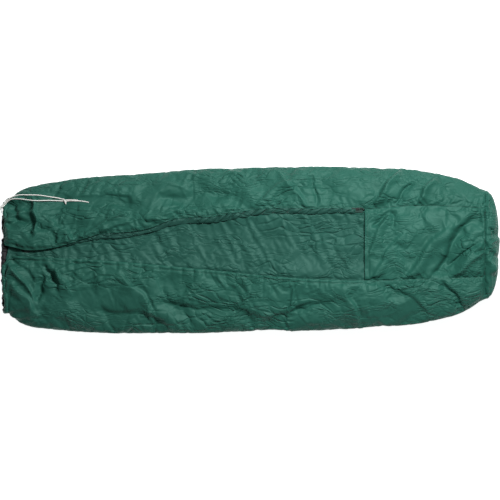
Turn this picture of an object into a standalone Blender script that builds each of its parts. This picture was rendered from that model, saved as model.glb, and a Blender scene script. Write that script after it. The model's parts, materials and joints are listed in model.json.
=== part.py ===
"""Bivy sack laid flat on the floor: head end towards -X, boxed foot towards +X, front face up.

The sack is a family of cross-sections along X. Each one lies flat on the floor, rolls up round both
sides and is gently domed on top. Every fabric panel is a piece of that surface, set in by its layer's
depth: outer shell first, then the seam tapes, then the black lining. The front opens along a zip that
follows a shallow arc, so that the slider turns about the arc's far centre.
"""

import math

import bmesh
import bpy
from mathutils import Matrix, Vector

# Driving sizes, in metres
HEM_X = -1.079          # head edge of the panels, where the drawcord hem begins
END_X = 1.041           # seam between the long panels and the boxed foot end
FOOT_EDGE_X = 0.508     # head edge of the foot panel
END_BULGE = 0.0570      # how far the foot end stands out past its seam
ROLL = 0.050            # width of the rolled side that lies outside the floor panel
SIDE_LEVEL = 0.4        # height of the widest line, as a share of the crown's height
SQUARENESS = 3.0        # 2 is an ellipse, more is flatter on top
SEAM_GAP = 0.001        # between neighbouring panels
UNDERSIDE = 0.4999 * math.pi    # how far the section turns under, past its widest point
CLEARANCE = 0.0003      # between pieces that touch
MM_PER_M = 1000.0
HEAD_ZONE_X = -0.900    # beyond these two, the sections change fast and lie closer together
FOOT_ZONE_X = 0.900
LONG_STEP = 0.10
SHORT_STEP = 0.03

# Layers, as depth below the outer surface and thickness
SHELL = (0.0, 0.0025)
SEAM_TAPE = (0.0046, 0.0005)
LINING = (0.0076, 0.0014)
RAISED_HEM = (-0.0030, 0.0018)
SEAM_TAPE_HALF = 0.010
END_TAPE_WIDTH = 0.018
END_TAPE_ANGLES = (0.68 * math.pi, 0.32 * math.pi)
FOOT_HEM_WIDTH = 0.010
LINING_INSET = 0.012    # from the rolled sides to the floor lining's edge

# The outline from above: x, the low edge's y and the high edge's y
OUTLINE = (
    (-1.085, -0.274, 0.199),
    (-1.060, -0.296, 0.238),
    (-0.998, -0.329, 0.274),
    (-0.910, -0.347, 0.294),
    (-0.733, -0.364, 0.320),
    (-0.468, -0.369, 0.338),
    (-0.203, -0.365, 0.360),
    (0.062, -0.358, 0.365),
    (0.327, -0.355, 0.369),
    (0.504, -0.343, 0.365),
    (0.680, -0.333, 0.359),
    (0.857, -0.302, 0.333),
    (0.946, -0.272, 0.303),
    (1.041, -0.212, 0.260),
)
LOWER_SEAM = ((-1.054, -0.027), (-0.650, -0.047), (-0.240, -0.083), (0.168, -0.123), (0.508, -0.136),
              (0.711, -0.130), (1.041, -0.121))
FOOT_UPPER_SEAM = ((0.508, 0.180), (0.711, 0.196), (0.857, 0.195), (1.041, 0.186))
FOOT_CROWN = ((0.800, 0.125), (1.041, 0.116))

# The zip: an arc of this radius in a plane that climbs towards the foot
ZIP_RADIUS = 5.1
ZIP_CENTRE_X = 0.357
ZIP_CENTRE_Y = -4.9175
ZIP_HEAD_X = -1.000
ZIP_STOP_X = 0.498
ZIP_CLIMB = 0.0203
ZIP_LEVEL = 0.1047      # height of the zip's centre plane at x = 0
ZIP_SINK = 0.0015       # the plane's depth under the fabric's outer surface
COIL_OFFSET = 0.0024
COIL_RADIUS = 0.0015
TAPE_INNER = 0.0042
TAPE_OUTER = 0.0080
PANEL_OFFSET = 0.0090   # from the zip's centre line to the fabric panels' edges
PLACKET_OFFSETS = (0.0065, 0.0160)
PLACKET_LEVEL = 0.0034
PLACKET_THICKNESS = 0.0016
ZIP_TAPE_THICKNESS = 0.0010
ZIP_SEGMENT = 0.07      # length of the straight pieces that stand for the arc

# The front flap turns about a straight fold line that hovers just above the fabric
FLAP_TIP_X = 0.440
FLAP_TIP_WIDTH = 0.012
FOLD_HEAD_Y = 0.165
FOLD_LIFT_HEAD = 0.014  # the fabric bulges up behind the head edge, and the line stays clear of it
FOLD_LIFT_TIP = 0.008

# The zip slider, with its length along the zip
SLIDER_X = 0.477
SLIDER_LENGTH = 0.014
SLIDER_HALF_WIDTH = 0.0055
SLIDER_PLATE = (0.0018, 0.0030)
BRIDGE_HALF_WIDTH = 0.0006
CROWN_HALF_WIDTH = 0.0012
CROWN_HALF_LENGTH = 0.0048
CROWN_BAR = 0.0010
PIVOT_LEVEL = 0.0042
PULL_BAR = 0.0006
PULL_LENGTH = 0.026
PULL_HALF_WIDTH = 0.0032
PULL_WINDOW_HALF_WIDTH = 0.0017
PULL_WINDOW_LENGTH = 0.0068

# The drawcord and its hem
HEM_CENTRE_X = -1.089
HEM_RADIUS = 0.0080
HEM_WALL = 0.0012
HEM_GAP_Y = (-0.060, 0.017)     # the hem's two ends, either side of the front opening
CORD_RADIUS = 0.0022
CORD_LIFT = 0.0045
EYELET_Y = (0.176, 0.191)
EYELET_RADIUS = 0.0045
EYELET_WIRE = 0.0011
KNOT_X = -0.818
KNOT_Y = 0.219
KNOT_SIZE = (0.0085, 0.0050, 0.0040)

MATERIALS = {
    "shell_green": ((0.030, 0.105, 0.080), 0.55, 0.0),
    "lining_black": ((0.008, 0.009, 0.010), 0.7, 0.0),
    "tape_green": ((0.020, 0.070, 0.055), 0.7, 0.0),
    "seam_tape_grey": ((0.20, 0.20, 0.20), 0.4, 0.0),
    "zip_coil": ((0.012, 0.016, 0.015), 0.4, 0.0),
    "zip_metal": ((0.42, 0.43, 0.42), 0.35, 1.0),
    "cord_white": ((0.78, 0.78, 0.74), 0.8, 0.0),
}


def clear_scene():
    for item in list(bpy.data.objects):
        bpy.data.objects.remove(item, do_unlink=True)


def make_material(name):
    colour, roughness, metallic = MATERIALS[name]
    material = bpy.data.materials.new(name)
    material.use_nodes = True
    shader = material.node_tree.nodes["Principled BSDF"]
    shader.inputs["Base Color"].default_value = (*colour, 1.0)
    shader.inputs["Roughness"].default_value = roughness
    shader.inputs["Metallic"].default_value = metallic
    return material


clear_scene()
collection = bpy.data.collections.new("bivy_sack")
bpy.context.scene.collection.children.link(collection)
materials = {name: make_material(name) for name in MATERIALS}


# ---------------------------------------------------------------- the sack's surface


def smooth_through(points, x):
    """Height at x of a smooth curve through (x, value) points, with a held end value outside them."""
    if x <= points[0][0]:
        return points[0][1]
    if x >= points[-1][0]:
        return points[-1][1]
    last = len(points) - 1
    i = next(k for k in range(last) if x <= points[k + 1][0])

    def slope(k):
        a, b = points[max(k - 1, 0)], points[min(k + 1, last)]
        return (b[1] - a[1]) / (b[0] - a[0])

    (x0, y0), (x1, y1) = points[i], points[i + 1]
    span = x1 - x0
    t = (x - x0) / span
    return (
        y0 * (1 + 2 * t) * (1 - t) ** 2
        + y1 * t * t * (3 - 2 * t)
        + slope(i) * span * t * (1 - t) ** 2
        - slope(i + 1) * span * t * t * (1 - t)
    )


LOW_EDGE = [(x, low) for x, low, high in OUTLINE]
HIGH_EDGE = [(x, high) for x, low, high in OUTLINE]


def centre_and_half(x):
    low, high = smooth_through(LOW_EDGE, x), smooth_through(HIGH_EDGE, x)
    return (low + high) / 2, (high - low) / 2


def zip_y(x, offset=0.0):
    """The y at x of a line parallel to the zip arc, on its +Y side. It runs on straight past the arc."""
    x = max(x, ZIP_HEAD_X)
    return ZIP_CENTRE_Y + math.sqrt((ZIP_RADIUS + offset) ** 2 - (x - ZIP_CENTRE_X) ** 2)


def zip_z(x):
    return ZIP_LEVEL + ZIP_CLIMB * x


def angle_at(x, y):
    """The angle round the section whose surface point has this y: 0 is the +Y side, pi the -Y side."""
    centre, half = centre_and_half(x)
    share = max(-1.0, min(1.0, (y - centre) / half))
    return math.acos(math.copysign(abs(share) ** (SQUARENESS / 2), share))


def crown_height(x):
    """Height of the section's crown. Up to the foot panel, the surface meets the zip's plane."""
    if x > FOOT_EDGE_X:
        return smooth_through(((FOOT_EDGE_X, crown_height(FOOT_EDGE_X)), *FOOT_CROWN), x)
    rise = math.sin(angle_at(x, zip_y(x)))
    return (zip_z(x) + ZIP_SINK) / (SIDE_LEVEL + (1 - SIDE_LEVEL) * rise)


def surface(x, angle, depth=0.0):
    """A point of the sack's surface, set in by depth. Angles below 0 or above pi are the rolled sides."""
    centre, half = centre_and_half(x)
    crown = crown_height(x)
    widest = SIDE_LEVEL * crown
    across, up = math.cos(angle), math.sin(angle)
    if up >= 0:
        y = centre + math.copysign(abs(across) ** (2 / SQUARENESS), across) * (half - depth)
        return Vector((x, y, widest + (crown - depth - widest) * up))
    y = centre + math.copysign(half - ROLL, across) + across * (ROLL - depth)
    return Vector((x, y, widest + (widest - depth) * up))


def on_surface(x, y, depth=0.0):
    return surface(x, angle_at(x, y), depth)


def lower_seam(x):
    return smooth_through(LOWER_SEAM, x)


def foot_upper_seam(x):
    return smooth_through(FOOT_UPPER_SEAM, x)


FOLD_TIP = on_surface(FLAP_TIP_X, zip_y(FLAP_TIP_X, PANEL_OFFSET) + FLAP_TIP_WIDTH)
FOLD_TIP.z += FOLD_LIFT_TIP
FOLD_HEAD = on_surface(HEM_X, FOLD_HEAD_Y)
FOLD_HEAD.z += FOLD_LIFT_HEAD


def fold_y(x):
    share = (x - FOLD_HEAD.x) / (FOLD_TIP.x - FOLD_HEAD.x)
    return FOLD_HEAD.y + share * (FOLD_TIP.y - FOLD_HEAD.y)


def stations(start, end):
    """X positions from start to end, closer together near the sack's two ends."""
    kinks = (ZIP_HEAD_X, HEAD_ZONE_X, FOOT_EDGE_X, FOOT_ZONE_X)
    marks = [start, *(x for x in kinks if start < x < end), end]
    places = []
    for low, high in zip(marks, marks[1:]):
        step = LONG_STEP if HEAD_ZONE_X <= low < FOOT_ZONE_X else SHORT_STEP
        count = max(1, round((high - low) / step))
        places += [low + (high - low) * k / count for k in range(count)]
    return [*places, end]


# ---------------------------------------------------------------- building blocks


def add_object(name, data, material):
    piece = bpy.data.objects.new(name, data)
    data.materials.append(materials[material])
    collection.objects.link(piece)
    return piece


def thicken(piece, thickness):
    """Give an open sheet its thickness, on the side away from its normals."""
    solid = piece.modifiers.new("thickness", "SOLIDIFY")
    solid.thickness = thickness
    solid.offset = -1
    solid.use_even_offset = True
    solid.thickness_clamp = 0


def mapped_sheet(name, material, columns, rows, place, thickness):
    """A grid of columns by rows whose points are place(column share, row share), made into a solid."""
    mesh = bpy.data.meshes.new(name)
    bm = bmesh.new()
    bmesh.ops.create_grid(bm, x_segments=columns, y_segments=rows, size=0.5)
    for vertex in bm.verts:
        vertex.co = place(vertex.co.x + 0.5, vertex.co.y + 0.5)
    bm.to_mesh(mesh)
    bm.free()
    piece = add_object(name, mesh, material)
    thicken(piece, thickness)
    return piece


def panel(name, material, places, low_angle, high_angle, rows, layer):
    """A fabric panel between two edges, given as the section's angle at x on the +Y and -Y side."""
    depth, thickness = layer

    def place(along, across):
        x = places[round(along * (len(places) - 1))]
        start, end = high_angle(x), low_angle(x)
        return surface(x, end + (start - end) * across, depth)

    return mapped_sheet(name, material, len(places) - 1, rows, place, thickness)


def zip_ribbon(name, material, start_x, end_x, offsets, level, thickness, segments=22):
    """A flat ribbon that follows the zip arc between two offsets, its top at this level over the plane."""

    def place(along, across):
        x = start_x + (end_x - start_x) * along
        return zip_point(x, offsets[0] + (offsets[1] - offsets[0]) * across, level)

    return mapped_sheet(name, material, segments, 1, place, thickness)


def tube(name, material, points, radius, filled=True):
    """A round cord or coil through the points."""
    curve = bpy.data.curves.new(name, "CURVE")
    curve.dimensions = "3D"
    curve.bevel_depth = radius
    curve.bevel_resolution = 1 if filled else 2
    curve.use_fill_caps = filled
    spline = curve.splines.new("POLY")
    spline.points.add(len(points) - 1)
    for target, point in zip(spline.points, points):
        target.co = (*point, 1.0)
    return add_object(name, curve, material)


def outline_solid(name, material, outline, half_thickness, frame, holes=()):
    """A flat outline given half its thickness on both sides of the frame's XY plane.

    The curve is drawn in millimetres, because the fill loses the corners of outlines this small.
    """
    curve = bpy.data.curves.new(name, "CURVE")
    curve.dimensions = "2D"
    curve.fill_mode = "BOTH"
    curve.extrude = half_thickness * MM_PER_M
    for loop in (outline, *holes):
        spline = curve.splines.new("POLY")
        spline.use_cyclic_u = True
        spline.points.add(len(loop) - 1)
        for target, (x, y) in zip(spline.points, loop):
            target.co = (x * MM_PER_M, y * MM_PER_M, 0.0, 1.0)
    piece = add_object(name, curve, material)
    piece.matrix_world = frame @ Matrix.Scale(1 / MM_PER_M, 4)
    return piece


def to_mesh(piece):
    """Replace a curve object by the mesh it evaluates to, with its caps welded."""
    bpy.context.view_layer.update()
    depsgraph = bpy.context.evaluated_depsgraph_get()
    mesh = bpy.data.meshes.new_from_object(piece.evaluated_get(depsgraph))
    bm = bmesh.new()
    bm.from_mesh(mesh)
    bmesh.ops.transform(bm, matrix=piece.matrix_world, verts=bm.verts)
    bmesh.ops.remove_doubles(bm, verts=bm.verts, dist=0.00001)
    bm.to_mesh(mesh)
    bm.free()
    name = piece.name
    bpy.data.objects.remove(piece, do_unlink=True)
    solid = bpy.data.objects.new(name, mesh)
    collection.objects.link(solid)
    return solid


def rectangle(x0, y0, x1, y1):
    return [(x0, y0), (x1, y0), (x1, y1), (x0, y1)]


def zip_axes(x):
    """Directions along the zip towards the foot, across it towards +Y, and up out of its plane."""
    up = Vector((-ZIP_CLIMB, 0, 1)).normalized()
    across = Vector((x - ZIP_CENTRE_X, zip_y(x) - ZIP_CENTRE_Y, 0))
    across = (across - up * across.dot(up)).normalized()
    return across.cross(up), across, up


def zip_point(x, offset=0.0, level=0.0):
    along, across, up = zip_axes(x)
    return Vector((x, zip_y(x), zip_z(x))) + across * offset + up * level


# ---------------------------------------------------------------- fabric panels


def fixed(angle):
    return lambda x: angle


def along_line(line, shift=0.0):
    return lambda x: angle_at(x, line(x) + shift)


def side_edge_y(x):
    """The zip side panel's inner edge: the fold line, then the zip, then the foot panel's seam."""
    if x <= FLAP_TIP_X + SEAM_GAP:
        return fold_y(x) + SEAM_GAP
    if x < FOOT_EDGE_X:
        return zip_y(x, PANEL_OFFSET)
    return foot_upper_seam(x) + SEAM_GAP


def side_stations():
    places = [x for x in stations(HEM_X, END_X) if abs(x - FLAP_TIP_X) > 0.03 and abs(x - FOOT_EDGE_X) > 0.03]
    steps = [FLAP_TIP_X + SEAM_GAP, FLAP_TIP_X + 3 * SEAM_GAP, FOOT_EDGE_X - SEAM_GAP, FOOT_EDGE_X + SEAM_GAP]
    return sorted(places + steps)


def make_layer(suffix, material, layer):
    """The long panels of one layer. The outer shell and the lining are cut to the same plan."""
    floor_high, floor_low = fixed(-UNDERSIDE), fixed(math.pi + UNDERSIDE)
    panel("zip_side_" + suffix, material, side_stations(), along_line(side_edge_y), floor_high, 8, layer)
    panel("seam_side_" + suffix, material, stations(HEM_X, END_X), floor_low,
          along_line(lower_seam, -SEAM_GAP), 10, layer)
    panel("centre_" + suffix, material, stations(HEM_X, FOOT_EDGE_X - SEAM_GAP),
          along_line(lower_seam, SEAM_GAP), along_line(lambda x: zip_y(x, -PANEL_OFFSET)), 3, layer)
    panel("foot_" + suffix, material, stations(FOOT_EDGE_X + SEAM_GAP, END_X),
          along_line(lower_seam, SEAM_GAP), along_line(foot_upper_seam, -SEAM_GAP), 4, layer)
    panel("flap_" + suffix, material, stations(HEM_X, FLAP_TIP_X),
          along_line(lambda x: zip_y(x, PANEL_OFFSET)), along_line(fold_y, -SEAM_GAP), 3, layer)


def make_foot_end(name, material, layer):
    """The boxed foot end: half a ball, drawn out to the shape of the last section."""
    depth, thickness = layer
    segments = 24
    mesh = bpy.data.meshes.new(name)
    bm = bmesh.new()
    bmesh.ops.create_uvsphere(bm, u_segments=segments, v_segments=8, radius=1.0,
                              matrix=Matrix.Rotation(math.pi / 2, 4, "Y"))
    bmesh.ops.delete(bm, geom=[v for v in bm.verts if v.co.x < -0.001], context="VERTS")
    middle = surface(END_X, math.pi / 2, depth)
    middle.z /= 2
    for vertex in bm.verts:
        reach = math.hypot(vertex.co.y, vertex.co.z)
        angle = math.atan2(vertex.co.z, vertex.co.y) + math.pi / segments
        rim = surface(END_X, angle, depth)
        vertex.co = (
            END_X + 2 * SEAM_GAP + (END_BULGE - depth) * vertex.co.x,
            middle.y + (rim.y - middle.y) * reach,
            middle.z + (rim.z - middle.z) * reach,
        )
    bmesh.ops.recalc_face_normals(bm, faces=bm.faces)
    if max(bm.faces, key=lambda f: f.calc_center_median().x).normal.x < 0:
        bmesh.ops.reverse_faces(bm, faces=bm.faces)
    bm.to_mesh(mesh)
    bm.free()
    thicken(add_object(name, mesh, material), thickness)


def make_floor(name, material, inset, level, thickness):
    """A flat sheet inside the rolled sides, lying on the floor."""
    places = stations(HEM_X, END_X)
    low, high = [], []
    for x in places:
        centre, half = centre_and_half(x)
        low.append((x, centre - half + ROLL + inset))
        high.append((x, centre + half - ROLL - inset))
    frame = Matrix.Translation((0, 0, level + thickness / 2))
    outline_solid(name, material, low + high[::-1], thickness / 2, frame)


def make_seam_tapes():
    """Tapes welded over the seams, between the shell and the lining."""
    half = SEAM_TAPE_HALF
    for name, line, start in (
        ("seam_tape_lower", lower_seam, HEM_X),
        ("seam_tape_foot_upper", foot_upper_seam, FOOT_EDGE_X + 2 * half),
    ):
        panel(name, "seam_tape_grey", stations(start, END_X - 2 * half), along_line(line, -half),
              along_line(line, half), 1, SEAM_TAPE)
    across_low = along_line(lower_seam, 2 * half)
    across_high = along_line(foot_upper_seam, -2 * half)
    panel("seam_tape_foot_edge", "seam_tape_grey", [FOOT_EDGE_X - half, FOOT_EDGE_X + half],
          across_low, across_high, 5, SEAM_TAPE)
    panel("seam_tape_foot_end", "seam_tape_grey", [END_X - END_TAPE_WIDTH, END_X - CLEARANCE],
          fixed(END_TAPE_ANGLES[0]), fixed(END_TAPE_ANGLES[1]), 8, SEAM_TAPE)
    panel("foot_panel_hem", "shell_green", [FOOT_EDGE_X + SEAM_GAP, FOOT_EDGE_X + SEAM_GAP + FOOT_HEM_WIDTH],
          along_line(lower_seam, half), along_line(foot_upper_seam, -half), 5, RAISED_HEM)


# ---------------------------------------------------------------- drawcord and hem


def hem_path(depth, clear=0.0):
    """Round the head opening from the seam side's front, under the sack, to the fold line."""
    start = angle_at(HEM_CENTRE_X, HEM_GAP_Y[0]) + clear
    end = angle_at(HEM_CENTRE_X, fold_y(HEM_CENTRE_X) + 2 * SEAM_GAP) - clear
    under_low, under_high = math.pi + UNDERSIDE, -UNDERSIDE
    steps = 14
    angles = [start + (under_low - start) * k / steps for k in range(steps)]
    angles += [under_high + (end - under_high) * k / steps for k in range(steps + 1)]
    return [surface(HEM_CENTRE_X, angle, depth) for angle in angles]


def flap_hem_path(depth, clear=0.0):
    start = angle_at(HEM_CENTRE_X, fold_y(HEM_CENTRE_X) - 2 * SEAM_GAP) + clear
    end = angle_at(HEM_CENTRE_X, HEM_GAP_Y[1]) - clear
    steps = 6
    return [surface(HEM_CENTRE_X, start + (end - start) * k / steps, depth) for k in range(steps + 1)]


def make_hem():
    for name, path in (("hood_hem", hem_path), ("flap_hem", flap_hem_path)):
        casing = tube(name, "shell_green", path(HEM_RADIUS), HEM_RADIUS, filled=False)
        casing = to_mesh(casing)
        thicken(casing, HEM_WALL)
    tube("drawcord_in_hem", "cord_white", hem_path(HEM_RADIUS, 0.02), CORD_RADIUS)
    tube("drawcord_in_flap", "cord_white", flap_hem_path(HEM_RADIUS, 0.02), CORD_RADIUS)


def lying(points, lift=CORD_LIFT):
    """Points (x, y) lifted off the sack's surface, for a cord that lies on it."""
    return [on_surface(x, y, -lift) for x, y in points]


STRAND_UPPER = ((-1.084, 0.190), (-1.068, 0.214), (-1.050, 0.231), (-1.030, 0.240), (-0.978, 0.244),
                (-0.928, 0.242), (-0.884, 0.235), (-0.832, 0.226))
STRAND_LOWER = ((-1.084, 0.176), (-1.074, 0.196), (-1.058, 0.214), (-1.038, 0.224), (-0.983, 0.221),
                (-0.884, 0.219), (-0.832, 0.217))
TAIL_SHORT = ((-0.804, 0.2205), (-0.780, 0.2195), (-0.755, 0.2185))
TAIL_LONG = ((-0.804, 0.2145), (-0.780, 0.2135), (-0.755, 0.2125), (-0.715, 0.2110))


def make_cord():
    tube("drawcord_upper_strand", "cord_white", lying(STRAND_UPPER), CORD_RADIUS)
    tube("drawcord_lower_strand", "cord_white", lying(STRAND_LOWER), CORD_RADIUS)
    tails = [
        tube("drawcord_short_tail", "cord_white", lying(TAIL_SHORT), CORD_RADIUS),
        tube("drawcord_long_tail", "cord_white", lying(TAIL_LONG), CORD_RADIUS),
    ]
    mesh = bpy.data.meshes.new("drawcord_knot")
    bm = bmesh.new()
    middle = on_surface(KNOT_X, KNOT_Y, -CORD_LIFT)
    frame = Matrix.Translation(middle) @ Matrix.Diagonal((*KNOT_SIZE, 1.0))
    bmesh.ops.create_uvsphere(bm, u_segments=12, v_segments=8, radius=1.0, matrix=frame)
    bm.to_mesh(mesh)
    bm.free()
    mesh.shade_smooth()
    return [add_object("drawcord_knot", mesh, "cord_white"), *tails]


def make_eyelets():
    """Two metal rings on the hem's face, where the drawcord comes out."""
    for name, y in zip(("eyelet_lower", "eyelet_upper"), EYELET_Y):
        rim = surface(HEM_CENTRE_X, angle_at(HEM_CENTRE_X, y), HEM_RADIUS)
        rim.x -= HEM_RADIUS + EYELET_WIRE + CLEARANCE
        bpy.ops.mesh.primitive_torus_add(major_segments=16, minor_segments=6, major_radius=EYELET_RADIUS,
                                         minor_radius=EYELET_WIRE, location=rim, rotation=(0, math.pi / 2, 0))
        ring = bpy.context.object
        ring.name = name
        ring.data.name = name
        ring.data.materials.append(materials["zip_metal"])
        for owner in list(ring.users_collection):
            owner.objects.unlink(ring)
        collection.objects.link(ring)


# ---------------------------------------------------------------- zip


def make_zip():
    """Both halves of the zip. The far half bends at the flap's tip, so its foot end is separate."""
    split = FLAP_TIP_X + SEAM_GAP
    for name, start, end, side in (
        ("lower", ZIP_HEAD_X, ZIP_STOP_X, -1),
        ("upper", ZIP_HEAD_X, FLAP_TIP_X, 1),
        ("upper_end", split, ZIP_STOP_X, 1),
    ):
        segments = max(1, round((end - start) / ZIP_SEGMENT))
        places = [start + (end - start) * k / segments for k in range(segments + 1)]
        tube("zip_coil_" + name, "zip_coil", [zip_point(x, side * COIL_OFFSET) for x in places], COIL_RADIUS)
        offsets = sorted((side * TAPE_INNER, side * TAPE_OUTER))
        zip_ribbon("zip_tape_" + name, "tape_green", start, end, offsets, ZIP_TAPE_THICKNESS / 2,
                   ZIP_TAPE_THICKNESS, segments)
    zip_ribbon("zip_placket", "shell_green", ZIP_HEAD_X, FLAP_TIP_X - 0.004, PLACKET_OFFSETS,
               PLACKET_LEVEL + PLACKET_THICKNESS, PLACKET_THICKNESS, 20)


def zip_block(name, x, low, high):
    """A metal stop crimped round the coil, as a box in the zip's own directions."""
    along, across, up = zip_axes(x)
    size = [high[k] - low[k] for k in range(3)]
    middle = zip_point(x) + sum(
        (axis * (low[k] + high[k]) / 2 for k, axis in enumerate((along, across, up))), Vector()
    )
    mesh = bpy.data.meshes.new(name)
    bm = bmesh.new()
    turn = Matrix((along, across, up)).transposed().to_4x4()
    stretch = Matrix.Diagonal((*size, 1.0))
    bmesh.ops.create_cube(bm, size=1.0, matrix=Matrix.Translation(middle) @ turn @ stretch)
    bm.to_mesh(mesh)
    bm.free()
    piece = add_object(name, mesh, "zip_metal")
    bevel = piece.modifiers.new("edges", "BEVEL")
    bevel.width = 0.0003
    bevel.segments = 1


def make_stops():
    zip_block("zip_bottom_stop", ZIP_STOP_X + 0.0003, (0.0003, -0.0042, -0.0016), (0.0043, 0.0042, 0.0020))
    for name, side in (("zip_top_stop_lower", -1), ("zip_top_stop_upper", 1)):
        edges = sorted((side * 0.0010, side * 0.0046))
        zip_block(name, ZIP_HEAD_X - 0.0003, (-0.0043, edges[0], -0.0016), (-0.0003, edges[1], 0.0020))


def make_slider():
    """An I-shaped body round the two coils, with a crown that holds the pull."""
    along, across, up = zip_axes(SLIDER_X)
    middle = zip_point(SLIDER_X)
    inner, outer = SLIDER_PLATE
    wide, web = SLIDER_HALF_WIDTH, BRIDGE_HALF_WIDTH
    profile = [(-wide, -outer), (wide, -outer), (wide, -inner), (web, -inner), (web, inner), (wide, inner),
               (wide, outer), (-wide, outer), (-wide, inner), (-web, inner), (-web, -inner), (-wide, -inner)]
    turn = Matrix((across, up, along)).transposed().to_4x4()
    body = to_mesh(outline_solid("zip_slider", "zip_metal", profile, SLIDER_LENGTH / 2,
                                 Matrix.Translation(middle) @ turn))
    reach, bar = CROWN_HALF_LENGTH, CROWN_BAR
    foot = outer - 0.0004
    under = PIVOT_LEVEL + 2 * PULL_BAR
    arch = [(-reach, foot), (-reach + bar, foot), (-reach + bar, under), (reach - bar, under),
            (reach - bar, foot), (reach, foot), (reach, under + bar), (-reach, under + bar)]
    turn = Matrix((along, up, -across)).transposed().to_4x4()
    crown = to_mesh(outline_solid("slider_crown", "zip_metal", arch, CROWN_HALF_WIDTH,
                                  Matrix.Translation(middle) @ turn))
    collection.objects.unlink(crown)
    cutters.objects.link(crown)
    crown.hide_render = True
    crown.display_type = "WIRE"
    union = body.modifiers.new("crown", "BOOLEAN")
    union.operation = "UNION"
    union.object = crown
    return body


def make_pull():
    """A flat tab with a window, whose end bar turns under the slider's crown."""
    along, across, up = zip_axes(SLIDER_X)
    pivot = zip_point(SLIDER_X, 0.0, PIVOT_LEVEL)
    side, bar = PULL_HALF_WIDTH, PULL_BAR
    tab = [(-bar, -side), (bar, -side), (PULL_WINDOW_LENGTH + 2 * bar, -side), (PULL_LENGTH, -1.2 * side),
           (PULL_LENGTH + 0.5 * side, 0.0), (PULL_LENGTH, 1.2 * side), (PULL_WINDOW_LENGTH + 2 * bar, side),
           (bar, side), (-bar, side)]
    window = rectangle(bar, -PULL_WINDOW_HALF_WIDTH, PULL_WINDOW_LENGTH, PULL_WINDOW_HALF_WIDTH)
    turn = Matrix((-along, -across, up)).transposed().to_4x4()
    return outline_solid("zip_pull", "zip_metal", tab, bar, Matrix.Translation(pivot) @ turn, holes=(window,))


# ---------------------------------------------------------------- assembly


def put_on_pivot(name, place, pieces):
    """An empty on the joint's axis, which carries the moving pieces."""
    pivot = bpy.data.objects.new(name, None)
    pivot.empty_display_size = 0.05
    pivot.location = place
    collection.objects.link(pivot)
    for piece in pieces:
        piece.parent = pivot
        piece.matrix_parent_inverse = Matrix.Translation(place).inverted()


cutters = bpy.data.collections.new("cutters")
bpy.context.scene.collection.children.link(cutters)

make_layer("panel", "shell_green", SHELL)
make_layer("lining", "lining_black", LINING)
make_foot_end("foot_end_panel", "shell_green", SHELL)
make_foot_end("foot_end_lining", "lining_black", LINING)
make_floor("floor_panel", "shell_green", SEAM_GAP, 0.0, SHELL[1])
make_floor("floor_lining", "lining_black", LINING_INSET, LINING[0], LINING[1])
make_seam_tapes()
make_hem()
make_eyelets()
cord_end = make_cord()
make_zip()
make_stops()
slider = make_slider()
pull = make_pull()

flap_names = ("flap_panel", "flap_lining", "flap_hem", "drawcord_in_flap", "zip_coil_upper",
              "zip_tape_upper", "zip_placket", "zip_top_stop_upper")
put_on_pivot("flap_fold_axis", FOLD_HEAD, [bpy.data.objects[name] for name in flap_names])
put_on_pivot("zip_arc_centre", Vector((ZIP_CENTRE_X, ZIP_CENTRE_Y, zip_z(ZIP_CENTRE_X))), [slider])
put_on_pivot("pull_pivot", zip_point(SLIDER_X, 0.0, PIVOT_LEVEL), [pull])
put_on_pivot("drawcord_pull_start", on_surface(KNOT_X, KNOT_Y, -CORD_LIFT), cord_end)
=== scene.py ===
"""Looks of the bivy sack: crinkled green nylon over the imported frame, seen from straight above.

Every fabric panel is a grid that follows the sack's cross-sections. All the grids go through one cloth
simulation, in which the cloth is a little too large for its sewn edges and so puckers along its seams.
A layer of sharp creases, drawn from a seeded list, is added on top of that.
"""

import json
import math

import bpy
import numpy as np
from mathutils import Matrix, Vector


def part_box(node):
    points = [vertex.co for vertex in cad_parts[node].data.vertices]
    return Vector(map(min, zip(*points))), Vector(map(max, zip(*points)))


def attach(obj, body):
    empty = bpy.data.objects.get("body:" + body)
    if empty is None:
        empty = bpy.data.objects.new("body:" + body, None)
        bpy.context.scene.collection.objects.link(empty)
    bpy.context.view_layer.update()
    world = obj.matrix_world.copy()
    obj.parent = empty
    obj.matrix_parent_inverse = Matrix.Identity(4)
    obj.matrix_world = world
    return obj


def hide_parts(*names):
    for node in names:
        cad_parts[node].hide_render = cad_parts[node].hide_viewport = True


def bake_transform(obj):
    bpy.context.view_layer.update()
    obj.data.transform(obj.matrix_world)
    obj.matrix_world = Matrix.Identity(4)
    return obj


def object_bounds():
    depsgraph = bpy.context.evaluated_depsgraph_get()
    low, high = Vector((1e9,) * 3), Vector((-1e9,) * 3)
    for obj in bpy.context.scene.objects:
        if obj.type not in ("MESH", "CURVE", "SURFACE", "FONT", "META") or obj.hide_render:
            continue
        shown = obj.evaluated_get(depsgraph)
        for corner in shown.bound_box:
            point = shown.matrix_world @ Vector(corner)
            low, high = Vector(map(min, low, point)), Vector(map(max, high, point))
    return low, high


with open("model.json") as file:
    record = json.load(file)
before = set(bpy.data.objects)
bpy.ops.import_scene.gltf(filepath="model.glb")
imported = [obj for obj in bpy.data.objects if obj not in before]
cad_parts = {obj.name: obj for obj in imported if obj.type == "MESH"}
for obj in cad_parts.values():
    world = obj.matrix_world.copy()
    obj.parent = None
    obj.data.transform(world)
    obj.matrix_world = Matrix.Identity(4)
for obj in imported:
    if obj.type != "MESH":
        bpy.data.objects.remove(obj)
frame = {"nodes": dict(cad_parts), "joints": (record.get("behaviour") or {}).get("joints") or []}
cad_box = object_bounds()

# ---------------------------------------------------------------- driving sizes, in metres

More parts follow.
